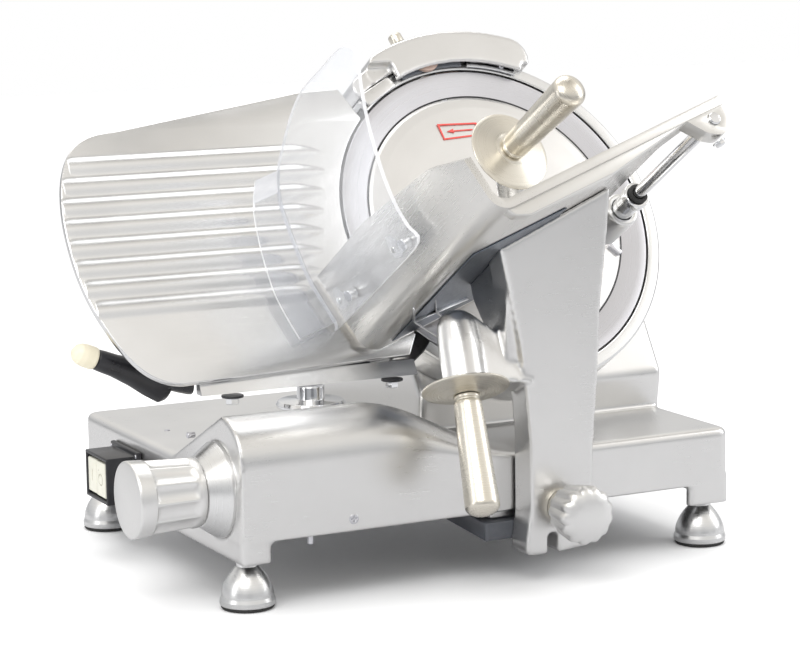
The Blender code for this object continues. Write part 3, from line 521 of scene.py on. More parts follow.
def screw(name, where, body, radius=4.5, height=3.0, sides=6, material=GROUND, washer=0.0):
    """A hexagon head, or a round one with many sides, on its washer."""
    head = lathe(name, [(0, height), (radius * 0.86, height), (radius, height - 0.6), (radius, washer * 0.5),
                        (0, washer * 0.5)], where, sides, 0.2, 20)
    if washer:
        ring = pin(name + "_washer", radius * 1.35, washer, 0, where, 40, 0.2)
        joined(head, ring)
        shaded(head.data, 20)
    return show(head, body, material)


# ---------------------------------------------------------------- base casting

CREST = 157.0                             # the gauge housing's highest point
CREST_END, CREST_RUN = 105.0, 157.0       # where its top starts to fall, and over what length
SHOULDER_Y = 17.0


def crest(x):
    """The height of the housing's top along X."""
    t = min(1.0, max(0.0, (x - CREST_END) / CREST_RUN))
    return CREST - (CREST - BASE_TOP + 1.0) * (1 - cos(pi * t)) / 2


def housing_section(x, inset=0.0):
    """The gauge housing across X: upright front, round shoulder, crest, long slope to the back."""
    top = crest(x) - inset
    front = BASE_FRONT + inset
    shoulder = top - 0.72 * (top - BASE_TOP + 3.0)
    points = [(x, front, BASE_SKIRT + 5), (x, front, shoulder)]
    for k in range(1, 16):
        a = pi / 2 * k / 16
        points.append((x, front + (SHOULDER_Y - front) * (1 - cos(a)), shoulder + (top - shoulder) * sin(a)))
    foot = (130.0 - inset, BASE_TOP - 4.0 - inset)
    for k in range(9):
        t = k / 8
        points.append((x, SHOULDER_Y + (foot[0] - SHOULDER_Y) * t, top + (foot[1] - top) * t))
    points.append((x, foot[0], BASE_SKIRT + 5))
    return points


def leaning(b, depth):
    """(y, z) of a point b up the blade's plane and depth behind it, in the machine frame."""
    point = MACHINE.inverted() @ (BLADE @ Vector((0, b * MM, -depth * MM)))
    return point.y / MM, point.z / MM


face = 33.0
back_top, back_knee, back_foot = (250.0, 306.0), (294.0, 176.0), (296.0, BASE_TOP - 5)
slab = oblong((BASE_LEFT, BASE_FRONT), (BASE_RIGHT, BASE_BACK), [6, 10, 14, 14])
base = plate("base", [slab], BASE_SKIRT, BASE_TOP - 12, MACHINE)
deck = softened(plate("deck", [slab], BASE_TOP - 30, BASE_TOP, MACHINE), 7.5, 6)
stations = [BASE_LEFT + 1 + 6.5 * i for i in range(43)]
additions = [deck, loft("housing", [housing_section(x) for x in stations], MACHINE)]
for x_low, x_high in ((BASE_LEFT + 0.5, 14.0), (414.0, BASE_RIGHT - 0.5)):
    leg = oblong((x_low, BASE_FRONT + 0.5), (x_high, BASE_BACK - 0.5), 5)
    additions.append(plate("leg", [leg], LEG_BOTTOM, BASE_SKIRT + 8, MACHINE))
column = rounded([(92, BASE_TOP - 5), (86, 141), leaning(68, face), back_top, back_knee, back_foot],
                 [0, 14, 8, 8, 10, 0])
additions.append(softened(plate("column", [column], 205, BASE_RIGHT, spot(MACHINE, turn=SIDEWAYS)), 6, 5))
additions.append(plate("backing", [circle((0, 0), RING_R - 2.5, 128)], -44, -face, BLADE))
joined(base, *additions)
inner_low, inner_high = leaning(-145, face + WALL), leaning(61, face + WALL)
hollow = [(98, BASE_SKIRT), (98, inner_low[1] - 4), inner_low, inner_high,
          (back_top[0] + 2, back_top[1] - 8), (340, 290), (340, BASE_TOP + 0.5), (290, BASE_TOP + 0.5),
          (290, BASE_SKIRT)]
cut(base, plate("hollow", [hollow], 211, BASE_RIGHT - WALL, spot(MACHINE, turn=SIDEWAYS)))
joined(base, pin("boss", 35, -25, -61.5, BLADE, 64))
dial_at = spot(MACHINE, (BASE_LEFT, *INDEX_AXIS), TO_LEFT)
slot_outline = oblong((POST[0] - 15, POST[1] - 15), (POST[0] + 15, POST[1] + 34), 12)
cavities = [pin("bore", 20.3, -20, -70, BLADE, 48),
            box("inside", (BASE_LEFT + WALL, BASE_FRONT + WALL, 20),
                (BASE_RIGHT - WALL, BASE_BACK - WALL, BASE_TOP - WALL), MACHINE),
            loft("housing_inside", [housing_section(x, WALL) for x in (BASE_LEFT + WALL + 0.5, 60, 105, 123)],
                 MACHINE),
            plate("post_slot", [slot_outline], BASE_TOP - 12, 170, MACHINE),
            pin("dial_recess", 41.5, 30, -3, dial_at),
            pin("index_bore", 9.5, 10, -20, dial_at, 48)]
cut(base, *cavities)
cast(base, 2.0, 6)
show(base, "frame", CAST, "base_casting")

collar = lathe("post_collar", [(13.5, 5.5), (22, 5.5), (27, 3.5), (29, 0), (13.5, 0)],
               spot(MACHINE, (POST[0], POST[1] + 2, 131), (radians(-24), 0, 0)), 96, 1.2)
show(collar, "frame", CAST)
plug_at = spot(MACHINE, (86.4, BASE_FRONT, 68), TO_FRONT)
plug = lathe("front_screw", [(0, 0.7), (3.4, 0.7), (4.3, 0.3), (4.5, -1), (0, -1)], plug_at, 48, 0.3)
cut(plug, *[box("slot", (-x, -y, 0.1), (x, y, 2), plug_at) for x, y in ((2.4, 0.5), (0.5, 2.4))])
show(plug, "frame", GROUND)
pin_places = ((48, -21, 52, FLIP), (BASE_LEFT, 86, 129.5, TO_LEFT), (20, 220, BASE_TOP, (0, 0, 0)))
for number, (x, y, z, turn) in enumerate(pin_places, 1):
    peg = lathe("small_pin_%d" % number, [(0, 0.8), (2.2, 0.8), (2.6, 0.2), (2.6, -6), (0, -6)],
                spot(MACHINE, (x, y, z), turn), 32, 0.3)
    show(peg, "frame", GROUND)

# ---------------------------------------------------------------- feet

bell = [(0, LEG_BOTTOM - 0.3), (8.8, LEG_BOTTOM - 0.3), (8.8, 34.5)]
bell += [(9.2 + 12.6 * (1 - (1 - t) ** 1.9), 34.5 - 24.5 * t) for t in [k / 12 for k in range(13)]]
bell += [(23, 7), (23, 3.2), (22, 2.4), (0, 2.4)]
for number, (x, y) in enumerate([(x, y) for x in (0, FOOT_SPACING[0]) for y in (0, FOOT_SPACING[1])], 1):
    at = spot(MACHINE, (x, y, 0))
    show(lathe("foot_bell_%d" % number, bell, at, 96, 0.7), "frame", SPUN, "foot_%d" % number)
    sole = [(0, 2.4), (21.8, 2.4), (22.2, 1.2), (21.4, 0), (0, 0)]
    show(lathe("foot_sole_%d" % number, sole, at, 96, 0.4), "frame", RUBBER)

# ---------------------------------------------------------------- blade group

blade_line = [(20, -7), (118, -7), (125, -3.6), (143, -1.7), (149.5, -1.2), (BLADE_R, -1.9), (147, -3.6),
              (120, -10), (20, -10)]
show(lathe("blade_disc", blade_line, BLADE, 192, 0.25, 20), "blade_rotor", GROUND, "blade")
cover_line = [(0, 0.9), (40, 0.7), (90, 0.0), (112, -0.8), (121, -1.6), (COVER_R, -2.9), (COVER_R, -3.7),
              (117, -5.8), (0, -5.8)]
cover = lathe("centre_cover", cover_line, BLADE, 192, 1.2, 20)
notch = pin("notch", 3.2, 5, -8, spot(BLADE, (-18, COVER_R, 0)), 32, 0.1)
cut(cover, notch)
shaded(cover.data, 20)
show(cover, "frame", SATIN, "blade_cover")
seal_line = [(COVER_R + 0.1, -2.7), (COVER_R + 1.5, -2.9), (COVER_R + 1.5, -3.4), (COVER_R + 0.1, -3.4)]
show(lathe("cover_seal", seal_line, BLADE, 192, 0.1), "frame", BLACK)
key_at = spot(BLADE, (109.5, -40.5, 0), (0, 0, radians(-44)))
key = plate("cover_key", [oblong((-7, -2.6), (7, 2.6), 1.6)], -2, 2.2, key_at)
show(softened(key, 0.7, 3), "frame", GROUND)

label_at = spot(BLADE, (-14.5, 88.6, -0.1), (0, 0, radians(0.7)))
outer = [(-20.5, 8.2), (20.0, 7.2), (20.0, -6.0), (-18.0, -8.2)]
inner = [(-18.7, 6.6), (18.5, 5.7), (18.5, -4.6), (-16.8, -6.6)]
show(plate("label_border", [outer, inner], 0.55, 0.95, label_at), "frame", RED)
arrow = [(-12.5, 0.2), (-5.5, 2.6), (-6.0, 0.8), (14.0, 1.0), (14.0, -0.2), (-6.0, -0.4), (-5.5, -2.0)]
show(plate("label_arrow", [arrow], 0.55, 0.95, label_at), "frame", RED)

ring_line = [(151.5, -0.6), (152.6, 0.2), (161.5, 0.2), (RING_R, -1.6), (RING_R, -32.7), (158.5, -32.7),
             (158.5, -4.2), (151.5, -3.4)]
ring = lathe("ring", ring_line, BLADE, 256, 0.9, 24)
cut(ring, plate("open", [[(0, 0)] + arc((0, 0), 220, 131, 228, 24)], -50, 20, BLADE),
    plate("gap", [sector(150, 172, 82, 99)], -45, -5, BLADE))
shaded(ring.data, 24)
show(ring, "frame", SPUN, "ring_guard")

# ---------------------------------------------------------------- sharpener


def hood_outline(inner, outer, start, end, corner_start, corner_end):
    """A sector whose outer corners are well rounded."""
    first = degrees(atan2(corner_start, outer - corner_start))
    last = degrees(atan2(corner_end, outer - corner_end))
    near = polar(outer - corner_start, start + first)
    far = polar(outer - corner_end, end - last)
    return (arc(near, corner_start, start - 90, start + first, 12)
            + arc((0, 0), outer, start + first + 1, end - last - 1, 40)
            + arc(far, corner_end, end - last, end + 90, 12)
            + arc((0, 0), inner, end, start, 40))


hood = plate("hood", [hood_outline(RING_R + 0.5, HOOD_R, 64.4, 122, 21, 16)], HOOD_BACK, HOOD_FACE, BLADE)
softened(hood, 4.5, 4)
joined(hood, plate("leg", [hood_outline(RING_R + 1, 180, 116, 129.5, 2, 12)], HOOD_BACK, 2, BLADE),
       plate("lip", [sector(154.5, 172, 66.4, 116)], 4.5, HOOD_FACE, BLADE))
nick = [(-68, 150), (-66.4, 140), (-90, 120), (-112, 128), (-100, 156), (-70, 156.5)]
cut(hood, plate("inside", [sector(140, 181, 78, 112)], -31, -6.2, BLADE),
    plate("mouth", [sector(140, 180, 68, 112)], -6.5, 7.5, BLADE),
    plate("nick", [nick], 3, 20, BLADE))
cast(hood, 1.4, 6)
show(hood, "sharpener", CAST, "sharpener_housing")
wheel = [(0, 0), (12.6, 0), (14, -1.2), (14, -4.5), (3, -5)]
grinding_tail = [(3, -38), (7, -38.5), (7, -42.5), (0, -42.5)]
for name, node, angle, height, turn, tail in (
        ("grinding_wheel", "grinding_stone", 90, -7, (0, 0, 0), grinding_tail),
        ("deburring_wheel", "deburring_stone", 101, 2.6, FLIP, [(3, -9), (0, -9)])):
    wheel_at = spot(BLADE, (*polar(RING_R + 2, angle), height), turn)
    show(lathe(name, wheel + tail, wheel_at, 72, 0.5), node, STONE, node)
lift_angle = 104
knob_at = spot(BLADE, (*polar(HOOD_R + 0.3, lift_angle), -8), (-pi / 2, 0, radians(lift_angle) - pi / 2))
lift_knob = lathe("lift_knob", [(0, 14), (5.4, 14), (6.4, 12.4), (6.4, 4), (0, 4)], knob_at, 56, 0.7)
show(lift_knob, "sharpener_knob", NICKEL, "sharpener_knob")
seat = lathe("lift_knob_seat", [(0, 3.9), (8.2, 3.9), (10, 2.6), (10, 0.4), (0, 0.4)], knob_at, 56, 0.5)
show(seat, "sharpener_knob", BLACK)
# a black sheet inside the sharpener's hood: painted shade for the dark cavity behind the stones
show(plate("hood_painted_shade", [sector(RING_R + 1, 179, 68.5, 121)], -7.5, -6.8, BLADE), "sharpener", BLACK)
show(softened(plate("stone_guide", [sector(152.5, 163, 68, 86)], 1.2, 4.2, BLADE), 0.8), "sharpener", CHROME)
shoe = rounded([(-99, 117), (-106, 128), (-73, 146), (-66, 137)], 3)
show(softened(plate("left_shoe", [shoe], 1.0, 4.0, BLADE), 1.2, 3), "sharpener", CAST)
show(softened(plate("stone_shoe", [sector(153.5, 162, 88, 112)], 1.2, 3.6, BLADE), 0.6), "sharpener", GREY)
screw("shoe_screw", spot(BLADE, (*polar(157.5, 73), 4.2)), "sharpener", 2.6, 1.6)

# ---------------------------------------------------------------- gauge plate

left_edge = [(-339, 109), (-362, 106), (-378, 99), (-390, 87), (-399, 68), (-404.5, 45), (-407, 18),
             (-405.5, -18), (-400, -48), (-391, -74), (-381, -95), (-367, -114), (-351, -125), (-334, -129)]
edge_start = degrees(atan2(108, -107))
front = flowing([(-310, 114)] + left_edge + [(-310, -130.5)])[6:6 * len(left_edge) + 1]
face_outline = front + [(-122, -122)] + arc((0, 0), 152, 223, edge_start, 60) + [(-122, 139), (-160, 138)]
gauge = plate("gauge_face", [face_outline], GAUGE_BACK, GAUGE_FACE, BLADE)
softened(gauge, 1.2, 3, 50)
show(gauge, "gauge", PLATE, "gauge_plate")


def gauge_rib(number):
    """One soft rib across the gauge plate: square at the plate's edge, tapering towards the blade."""
    middle = RIB_TOP - RIB_PITCH * number
    left = max(x for x, y in front if abs(y - middle) < 9.0) + 0.8
    right = -156 - 0.28 * max(0.0, 60 - middle)
    sections = []
    for step in range(61):
        t = step / 60
        taper = min(1.0, (60.25 - step) / 7.0, (step + 0.6) / 0.8)
        half = 9.5 * taper ** 0.5
        tall = RIB_HEIGHT * min(1.0, taper * 1.15)
        x = left + (right - left) * t
        section = [(x, middle - half + 2 * half * k / 20, GAUGE_FACE + tall * sin(pi * k / 20) ** 1.6)
                   for k in range(21)]
        section += [(x, middle + half, GAUGE_FACE - 0.4), (x, middle - half, GAUGE_FACE - 0.4)]
        sections.append(section)
    return loft("gauge_rib_%d" % number, sections, BLADE, 50)


for number in range(RIBS):
    show(gauge_rib(number), "gauge", PLATE)

rail = box("rail", (-6, 50, 164), (196, 84, 176.5), MACHINE)
rail_top = GAUGE_BACK - 0.3
web = rounded([(-310, -126), (-124, -122), (-150, -80), (-310, -60)], 8)
end_cup = rounded([(-160, -125.5), (-139, -125.5), (-140, -112), (-147, -98), (-160, -98)], 5)
joined(rail, plate("web", [web], GAUGE_BACK - 16, rail_top, BLADE),
       plate("end_cup", [end_cup], -34, rail_top, BLADE))
cut(rail, box("above", (-420, -200, rail_top), (0, 200, 80), BLADE))
softened(rail, 1.4, 3, 40)
show(rail, "gauge", PLATE, "gauge_bracket")
post_line = [(0, 163.7), (12, 163.7), (12, 152), (28, 151), (30, 148), (30, 145.4), (12, 144.4), (12, 103),
             (0, 103)]
show(lathe("support_post", post_line, spot(MACHINE, (*POST, 0)), 96, 0.9), "gauge", CHROME, "gauge_post")
for number, x in enumerate((19, 168), 1):
    screw("gauge_bolt_%d" % number, spot(MACHINE, (x, 66, 162.2), FLIP), "gauge", 6.0, 6.0, 6, CHROME)
    washer = pin("gauge_washer_%d" % number, 9.5, 1.9, 0, spot(MACHINE, (x, 66, 163.9), FLIP), 56, 0.4)
    show(washer, "gauge", BLACK)

lever_at = spot(MACHINE, (-26, 116, 172), (0, radians(-67), 0))
stem = [[(r * cos(a) * w, r * sin(a), h) for a in full_turn(40)]
        for h, r, w in ((-8, 12.0, 1.2), (-4, 13.5, 1.3), (10, 13.0, 1.2), (26, 11.0, 1.1),
                        (44, 9.6, 1.0), (56, 9.2, 1.0), (60.5, 8.8, 1.0), (62, 7.6, 1.0))]
show(softened(loft("lever_stem", stem, lever_at), 0.6, 2), "gauge", BLACK, "gauge_lever")
root = [[(x, y + 9 * cos(a) * w, z + 9 * sin(a)) for a in full_turn(40)]
        for x, y, z, w in ((-60, 118, 186, 0.9), (-44, 117, 181, 1.1), (-26, 114, 175, 1.4),
                           (-12, 108, 171, 1.6), (-7, 104, 170, 1.6), (-5, 102, 170, 1.2))]
show(loft("lever_root", root, MACHINE), "gauge", BLACK)
cap = [(0, 84), (3.5, 83.2), (6.8, 80.8), (9, 77), (9.8, 72), (9.8, 64), (9.2, 62.3), (0, 62.3)]
show(lathe("lever_tip", cap, lever_at, 72, 1.0), "gauge", CREAM, "lever_cap")

# ---------------------------------------------------------------- thickness knob, dial and switch

knob_back = 18.0
knob_line = [(0.4, 27.4, 0), (0.7, 28.6, 0), (1.6, 29.1, 0), (6, 29.3, 0), (7.5, 29.4, 1.0), (9.5, 29.5, 2.2),
             (12, 29.6, 2.7), (40, 30.9, 2.7), (43, 31.1, 2.6), (44.4, 31.2, 1.6), (45.2, 31.25, 0.0),
             (46, 31.3, 0), (56.6, 31.9, 0), (58.2, 31.8, 0), (59.1, 31.2, 0), (59.5, 30.0, 0)]
thick_knob = lobed("thick_knob", [(knob_back + h, r, flute) for h, r, flute in knob_line], 12, dial_at,
                   scoop=0.9)
show(thick_knob, "thickness_knob", KNOB, "index_knob")
cone_line = [(10, knob_back), (27.6, knob_back), (29, knob_back - 0.8), (40, 1.2), (40, -2.6), (10, -2.6)]
show(lathe("dial_cone", cone_line, dial_at, 160, 0.5), "thickness_knob", SPUN, "dial_ring")

switch_at = spot(MACHINE, (BASE_LEFT - 0.3, *SWITCH))
case = box("switch_case", (-4.6, -33, -25), (0, 33, 25), switch_at)
joined(case, box("body", (-31, -27, -21), (-3, 27, 21), switch_at))
cut(case, box("well", (-40, -23.7, -17.7), (-21, 23.7, 17.7), switch_at))
softened(case, 1.3, 3, 40)
show(case, "frame", BLACK, "switch_housing")
for name, side in (("start_button", -1), ("stop_button", 1)):
    at = spot(MACHINE, (BASE_LEFT - 25.5, SWITCH[0] + side * 11.6, SWITCH[1]))
    button = box(name + "_cap", (-6 if side < 0 else -5.2, -10.5, -15.5), (0, 10.5, 15.5), at)
    softened(button, 1.4, 4)
    if side < 0:
        ring_mark = [(4.2, 1), (5.4, 1), (5.4, -1), (4.2, -1)]
        groove = lathe("mark", ring_mark, spot(at, (-6, 0, 0), TO_LEFT), 48, 0.1)
    else:
        groove = box("mark", (-6, -0.8, -5), (-4.7, 0.8, 5), at)
    cut(button, groove)
    shaded(button.data, 30)
    show(button, name, PALE, name)
for number, (y, z) in enumerate(((-30, -21), (30, -21), (-30, 21), (30, 21)), 1):
    screw("switch_screw_%d" % number, spot(switch_at, (-4.6, y, z), TO_LEFT), "frame", 1.9, 0.9, 24)

# ---------------------------------------------------------------- carriage

arm_outline = [(231, 24.5), (252.5, 24), (252.5, 42), (262, 42), (262, 24.5), (295, 27), (296, 80),
               (297.5, 118), (302, 178), (304.5, 233), (312, 300), (318, 380), (200, 380), (206, 296),
               (216, 256), (226, 208), (232, 168), (236, 122), (236, 62)]
arm_radii = [5, 1, 2, 2, 1, 6, 40, 60, 60, 40, 40, 0, 0, 30, 40, 60, 60, 60, 40]
arm = plate("arm_casting", [rounded(arm_outline, arm_radii, 6)], -ARM_BACK, -ARM_FRONT,
            spot(MACHINE, turn=TO_FRONT))
gusset = plate("gusset", [[(-50, 182), (-28, 182), (-28, 196), (10, 236), (34, 300), (-50, 330)]], 217, 234,
               spot(MACHINE, turn=SIDEWAYS))
HANDLE = spot(MACHINE, (178, -50, 171), (radians(-29), radians(7.7), 0))
boss_line = [(0, 70), (8, 68.5), (13.6, 64.5), (16.8, 57), (17.8, 40), (17.8, 1.4), (0, 1.4)]
boss = lathe("boss", boss_line, HANDLE, 96, 2.0)
bridge = plate("bridge", [[(0, 5), (58, 5), (58, 30), (9, 64), (0, 64)]], -12, 12,
               spot(HANDLE, turn=TO_FRONT))
joined(arm, gusset, boss, bridge)
lock_at = spot(MACHINE, LOCK, TO_FRONT)
cut(arm, box("tray_space", (-60, -8.2, -60), (400, 300, 500), TRAY),
    pin("stud_hole", 6.3, 5, -40, lock_at, 48, 0.1))
cast(arm, 1.7, 8)
show(arm, "carriage", CAST, "arm")


def rib_bar(name, start, end, thick, deep, material):
    """A thin rib hanging under the tray between two points, deep along the tray's wall direction."""
    one, two = Vector(start), Vector(end)
    way = (two - one).normalized()
    across = way.cross(Vector((0, 1, 0))).normalized() * thick / 2
    section = []
    for point in (one, two):
        top = point + Vector((0, deep, 0))
        section.append([tuple(p) for p in (point - across, point + across, top + across, top - across)])
    return show(softened(loft(name, section, TRAY), thick * 0.25, 2), "carriage", material)


# a dark sheet under the tray, painted shade where the tray's underside lies in shadow
shade_pan = plate("tray_underside_painted_shade", [[(14, -9.4), (118, -9.4), (118, -8.3), (14, -8.3)]], 16, 190, TRAY)
show(softened(shade_pan, 0.3, 1), "carriage", PAINTED_SHADE)
skirt_outline = rounded([(4, -6), (8, -14), (20, -19), (110, -19), (205, -7.5), (205, -4), (4, -4)],
                        [1, 6, 8, 30, 1, 1, 1])
skirt = plate("tray_skirt", [skirt_outline], TRAY_NEAR - 13, TRAY_NEAR - 3.2, TRAY)
softened(skirt, 1.2, 3, 40)
show(skirt, "carriage", TRAY_METAL)
left_knot, right_knot = (14.8, -12, 60.7), (43.5, -12, 53.2)
tray_ribs = ((left_knot, (55, -35, 22.8)), (left_knot, (-1, -9.6, 96)), (left_knot, right_knot),
             (right_knot, (70, -30, 28)), (right_knot, (86, -12, 42)), (right_knot, (22, -9.6, 96)))
for number, (start, end) in enumerate(tray_ribs, 1):
    # the ribs take the darker sheet steel rather than the tray's aluminium, as painted shade under the tray
    rib_bar("tray_rib_%d" % number, start, end, 1.2, 3.0, STEEL)

corner = rounded([(-7, 80), (-7, -8), (243, -8), (243, 0), (0, 0), (0, 80)], [3, 16, 2, 2, 10, 3], 12)
tray = plate("tray_casting", [corner], TRAY_FAR, TRAY_NEAR, TRAY)
beside = rounded([(196, -40), (196, 236), (212, 258), (250, 262), (320, 262), (320, -40)],
                 [0, 16, 10, 0, 0, 0], 10)
above = rounded([(-20, 74), (112, 73.5), (194, 64.5), (232, 60), (292, 38), (292, 200), (-20, 200)],
                [0, 30, 30, 30, 0, 0, 0], 10)
cut(tray, plate("beside", [beside], -30, 30, spot(TRAY, turn=TO_FRONT)),
    plate("above", [[(-z, y) for z, y in above]], -30, 30, spot(TRAY, turn=TO_RIGHT)))
near_lug = rounded([(200, -1.5), (200, -7), (212, -24), (226, -33), (243, -20), (242, -1.5)],
                   [0, 6, 10, 15, 12, 0])
far_lug = rounded([(180, -1.5), (180, -7), (214, -28), (238, -28), (240, -1.5)], [0, 3, 10, 12, 0])
joined(tray, plate("near_lug", [near_lug], 264, TRAY_NEAR - 1, TRAY),
       plate("far_lug", [far_lug], 5, 14, TRAY))
rod_at = spot(TRAY, (*ROD, 0))
cut(tray, pin("seat", 5.7, 400, 4.5, rod_at, 48, 0.1))
softened(tray, 1.3, 3, 40)
show(tray, "carriage", TRAY_METAL, "carriage_tray")

foot = rounded([(208, ARM_BACK + 0.3), (292, ARM_BACK + 0.3), (284, 70), (218, 70)], [2, 2, 8, 8])
show(softened(plate("carriage_foot", [foot], 34, 50, MACHINE), 1.5), "carriage", PAINT, "foot_plate")

# ---------------------------------------------------------------- hand guard

guard_points = [(184, 158), (182, 194), (180, 224), (178, 241), (173.5, 250), (167, 254), (160, 250),
                (144, 234), (123, 216), (98, 200), (76, 189), (55, 182.5), (38, 181.5)]
guard_end = [(22, 181), (21, 120), (24, 8)]
guard_blade = [(30, 5.5), (60, 6), (77, 8), (100, 16), (120, 25), (141, 37), (158, 60), (171, 97), (180, 130)]
guard_line = flowing(guard_points + guard_end + guard_blade, 4)
guard = plate("guard_sheet", [[(-d, e) for e, d in guard_line]], *SHEET, spot(TRAY, turn=TO_RIGHT))
bend = sorted((e, d) for e, d in guard_line if d < 62 and 27 < e < 160)
lip_sections = []
for e, d in bend:
    t = (e - bend[0][0]) / (bend[-1][0] - bend[0][0])
    reach = -57 + 14 * t ** 2
    lip_sections.append([(SHEET[1] - 0.6, e, d + 0.2), (SHEET[1] - 0.6, e, d + 3.2), (SHEET[0], e, d + 3.4),
                         (reach + 1, e, d + 3.4), (reach, e, d + 2.6), (reach, e, d + 0.8), (reach + 1, e, d),
                         (SHEET[0], e, d)])
guard_lip = loft("guard_lip", lip_sections, TRAY)
show(guard_lip, "carriage", CLEAR)
softened(guard, 0.5, 2, 50)
show(guard, "carriage", CLEAR, "hand_guard")


def edged(sheet, is_edge):
    """Give a clear sheet's edge faces the brighter look of cut acrylic."""
    sheet.data.materials.append(EDGE)
    for polygon in sheet.data.polygons:
        if is_edge(polygon):
            polygon.material_index = 1


edged(guard_lip, lambda part: part.center.x / MM < SHEET[0] - 3 and abs(part.normal.z) < 0.7)
edged(guard, lambda part: abs(part.normal.z) < 0.9)
drop = flowing([(0, 12), (5.4, 4), (6.4, -2), (4.2, -6.6), (0, -8), (-4.2, -6.6), (-6.4, -2), (-5.4, 4)])
for number, (e, d) in enumerate(((38, 42), (32, 154)), 1):
    at = spot(TRAY, (SHEET[0] - 0.3, e, d), TO_LEFT)
    wing = softened(plate("guard_wing_%d" % number, [drop], 0, 4.6, at), 1.6, 4)
    show(wing, "carriage", CLEAR, "guard_bolt_%d" % number)
    core_line = [(0, 5.6), (2.6, 5.6), (2.9, 5.0), (2.9, 4.7), (0, 4.7)]
    core = lathe("guard_core_%d" % number, core_line, at, 32, 0.3)
    show(core, "carriage", CHROME)
    spacer = lathe("guard_spacer_%d" % number, [(0, 8.3), (5, 8.3), (5.4, 6), (5.4, 2), (5, 0), (0, 0)],
                   spot(TRAY, (-7.3, e, d), TO_LEFT), 48, 0.4)
    show(spacer, "carriage", CHROME)

# ---------------------------------------------------------------- handles


def grip_line(base, tip, length):
    """A straight grip that widens to a domed end, with a stepped neck."""
    dome = [pi / 2 * k / 10 for k in range(11)]
    line = [(tip * sin(a), length - tip * 0.62 * (1 - cos(a))) for a in dome]
    line += [(base + 0.4, 14), (base + 0.2, 10.5), (base - 1.6, 9.6), (base - 1.6, 8.2), (base - 0.4, 7.6)]
    return line + [(base - 0.4, 5.2), (base - 1.4, 4.8), (0, 4.8)]


flange_line = [(0, 4.5), (13, 4.5), (15.5, 3.6), (34, -0.2), (36.4, -0.9), (36.9, -1.8), (36.2, -2.7),
               (34, -2.5), (16, -0.3), (0, -0.3)]
down = spot(HANDLE, (0, 0, -0.6), FLIP)
flange = lathe("carriage_flange", [(r, z + 0.3) for r, z in flange_line],
               spot(HANDLE, (0, 0, -0.3), FLIP), 128, 0.5)
show(flange, "carriage", NICKEL, "handle_flange")
show(lathe("carriage_grip", grip_line(11.5, 14.5, 108), down, 96, 0.7), "carriage", NICKEL, "handle_grip")
low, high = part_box("pusher_flange")
PUSH = spot(TRAY, (146.0, 69.7, 130.0), (0, radians(6), 0))
flange = lathe("push_flange", [(r, z + 0.6) for r, z in flange_line], PUSH, 128, 0.5)
show(flange, "pusher", NICKEL, "pusher_flange")
grip = lathe("push_grip", grip_line(11.5, 14.8, 108), spot(PUSH, (0, 0, 0.6)), 96, 0.7)
show(grip, "pusher", NICKEL, "pusher_grip")

lock_line = [(10.2, 17, 0), (10.6, 19.4, 0.8), (13, 21.4, 2.2), (20, 22.8, 2.8), (34, 25.0, 2.9),
             (38, 25.3, 2.6), (41, 24.6, 1.8), (44, 22.2, 0.8), (46, 18.5, 0.2), (47.4, 12, 0), (48, 5, 0)]
show(lobed("clamp_knob", lock_line, 13, lock_at), "lock", KNOB, "lock_knob")
collar_line = [(6.3, 9.8), (14, 9.8), (15, 8.2), (15, 0.5), (6.3, 0.5)]
show(lathe("clamp_collar", collar_line, lock_at, 72, 0.6), "lock", NICKEL, "lock_collar")

# ---------------------------------------------------------------- pusher

guide_rod = lathe("guide_rod", [(0, 281), (4.6, 281), (5.5, 280.2), (5.5, 4.8), (0, 4.8)], rod_at, 64, 0.4)
show(guide_rod, "carriage", CHROME, "pusher_rod")
sleeve_line = [(5.8, 140), (11.4, 140), (12, 139), (12, 133), (11, 131.6), (9.9, 131), (9.9, 69), (11, 68.4),
               (12, 67.6), (12, 62), (5.8, 62)]
show(lathe("sliding_sleeve", sleeve_line, rod_at, 80, 0.5), "sleeve", CHROME, "rod_sleeve")
sleeve_ring = [(5.8, 143.5), (8, 143.5), (9, 142.4), (9, 140.4), (5.8, 140.4)]
show(lathe("sleeve_ring", sleeve_ring, rod_at, 64, 0.5), "sleeve", RUBBER, "sleeve_seal")
bar = plate("pusher_bar", [rounded([(12, 3), (224, 3), (224, 28), (206, 32), (12, 30)], 3)], 69, 75, TRAY)
post = []
for k in range(13):
    t = k / 12
    centre = Vector((152, 18, 73)).lerp(Vector((145, 69.7, 129)), t)
    centre.y += 10 * sin(pi * t)
    r = 15 - 3 * t
    post.append([(centre.x + r * cos(a), centre.y + r * sin(a) * (0.7 + 0.3 * t), centre.z)
                 for a in full_turn(48)])
joined(bar, lathe("hub", [(0, 112), (15, 112), (15.6, 110), (15.6, 71), (0, 71)], rod_at, 64, 0.8),
       box("shank", (205, -14, 70), (222, 26, 88), TRAY), loft("neck", post, TRAY))
cut(bar, pin("way", 10.2, 200, 40, rod_at, 64, 0.1))
cast(bar, 1.3, 5)
show(bar, "pusher", CAST, "pusher_plate")
teeth = bmesh.new()
for row in range(3):
    for column_number in range(13):
        x = 20 + 13.5 * column_number + 6.7 * (row % 2)
        made = bmesh.ops.create_cone(teeth, segments=4, radius1=2.6, radius2=0.2, depth=6.0)["verts"]
        bmesh.ops.rotate(teeth, verts=made, matrix=Matrix.Rotation(pi, 3, "X"))
        bmesh.ops.translate(teeth, verts=made, vec=(x, 9 + 7.5 * row, 66.2))
show(thing("pusher_teeth", teeth, TRAY, 20), "pusher", STEEL)
screw("rod_nut", spot(TRAY, (ROD[0] - 3, -33.0, 271), TO_FRONT), "carriage", 4.2, 4.2, 6, CHROME, 1.2)

# ---------------------------------------------------------------- back and underside

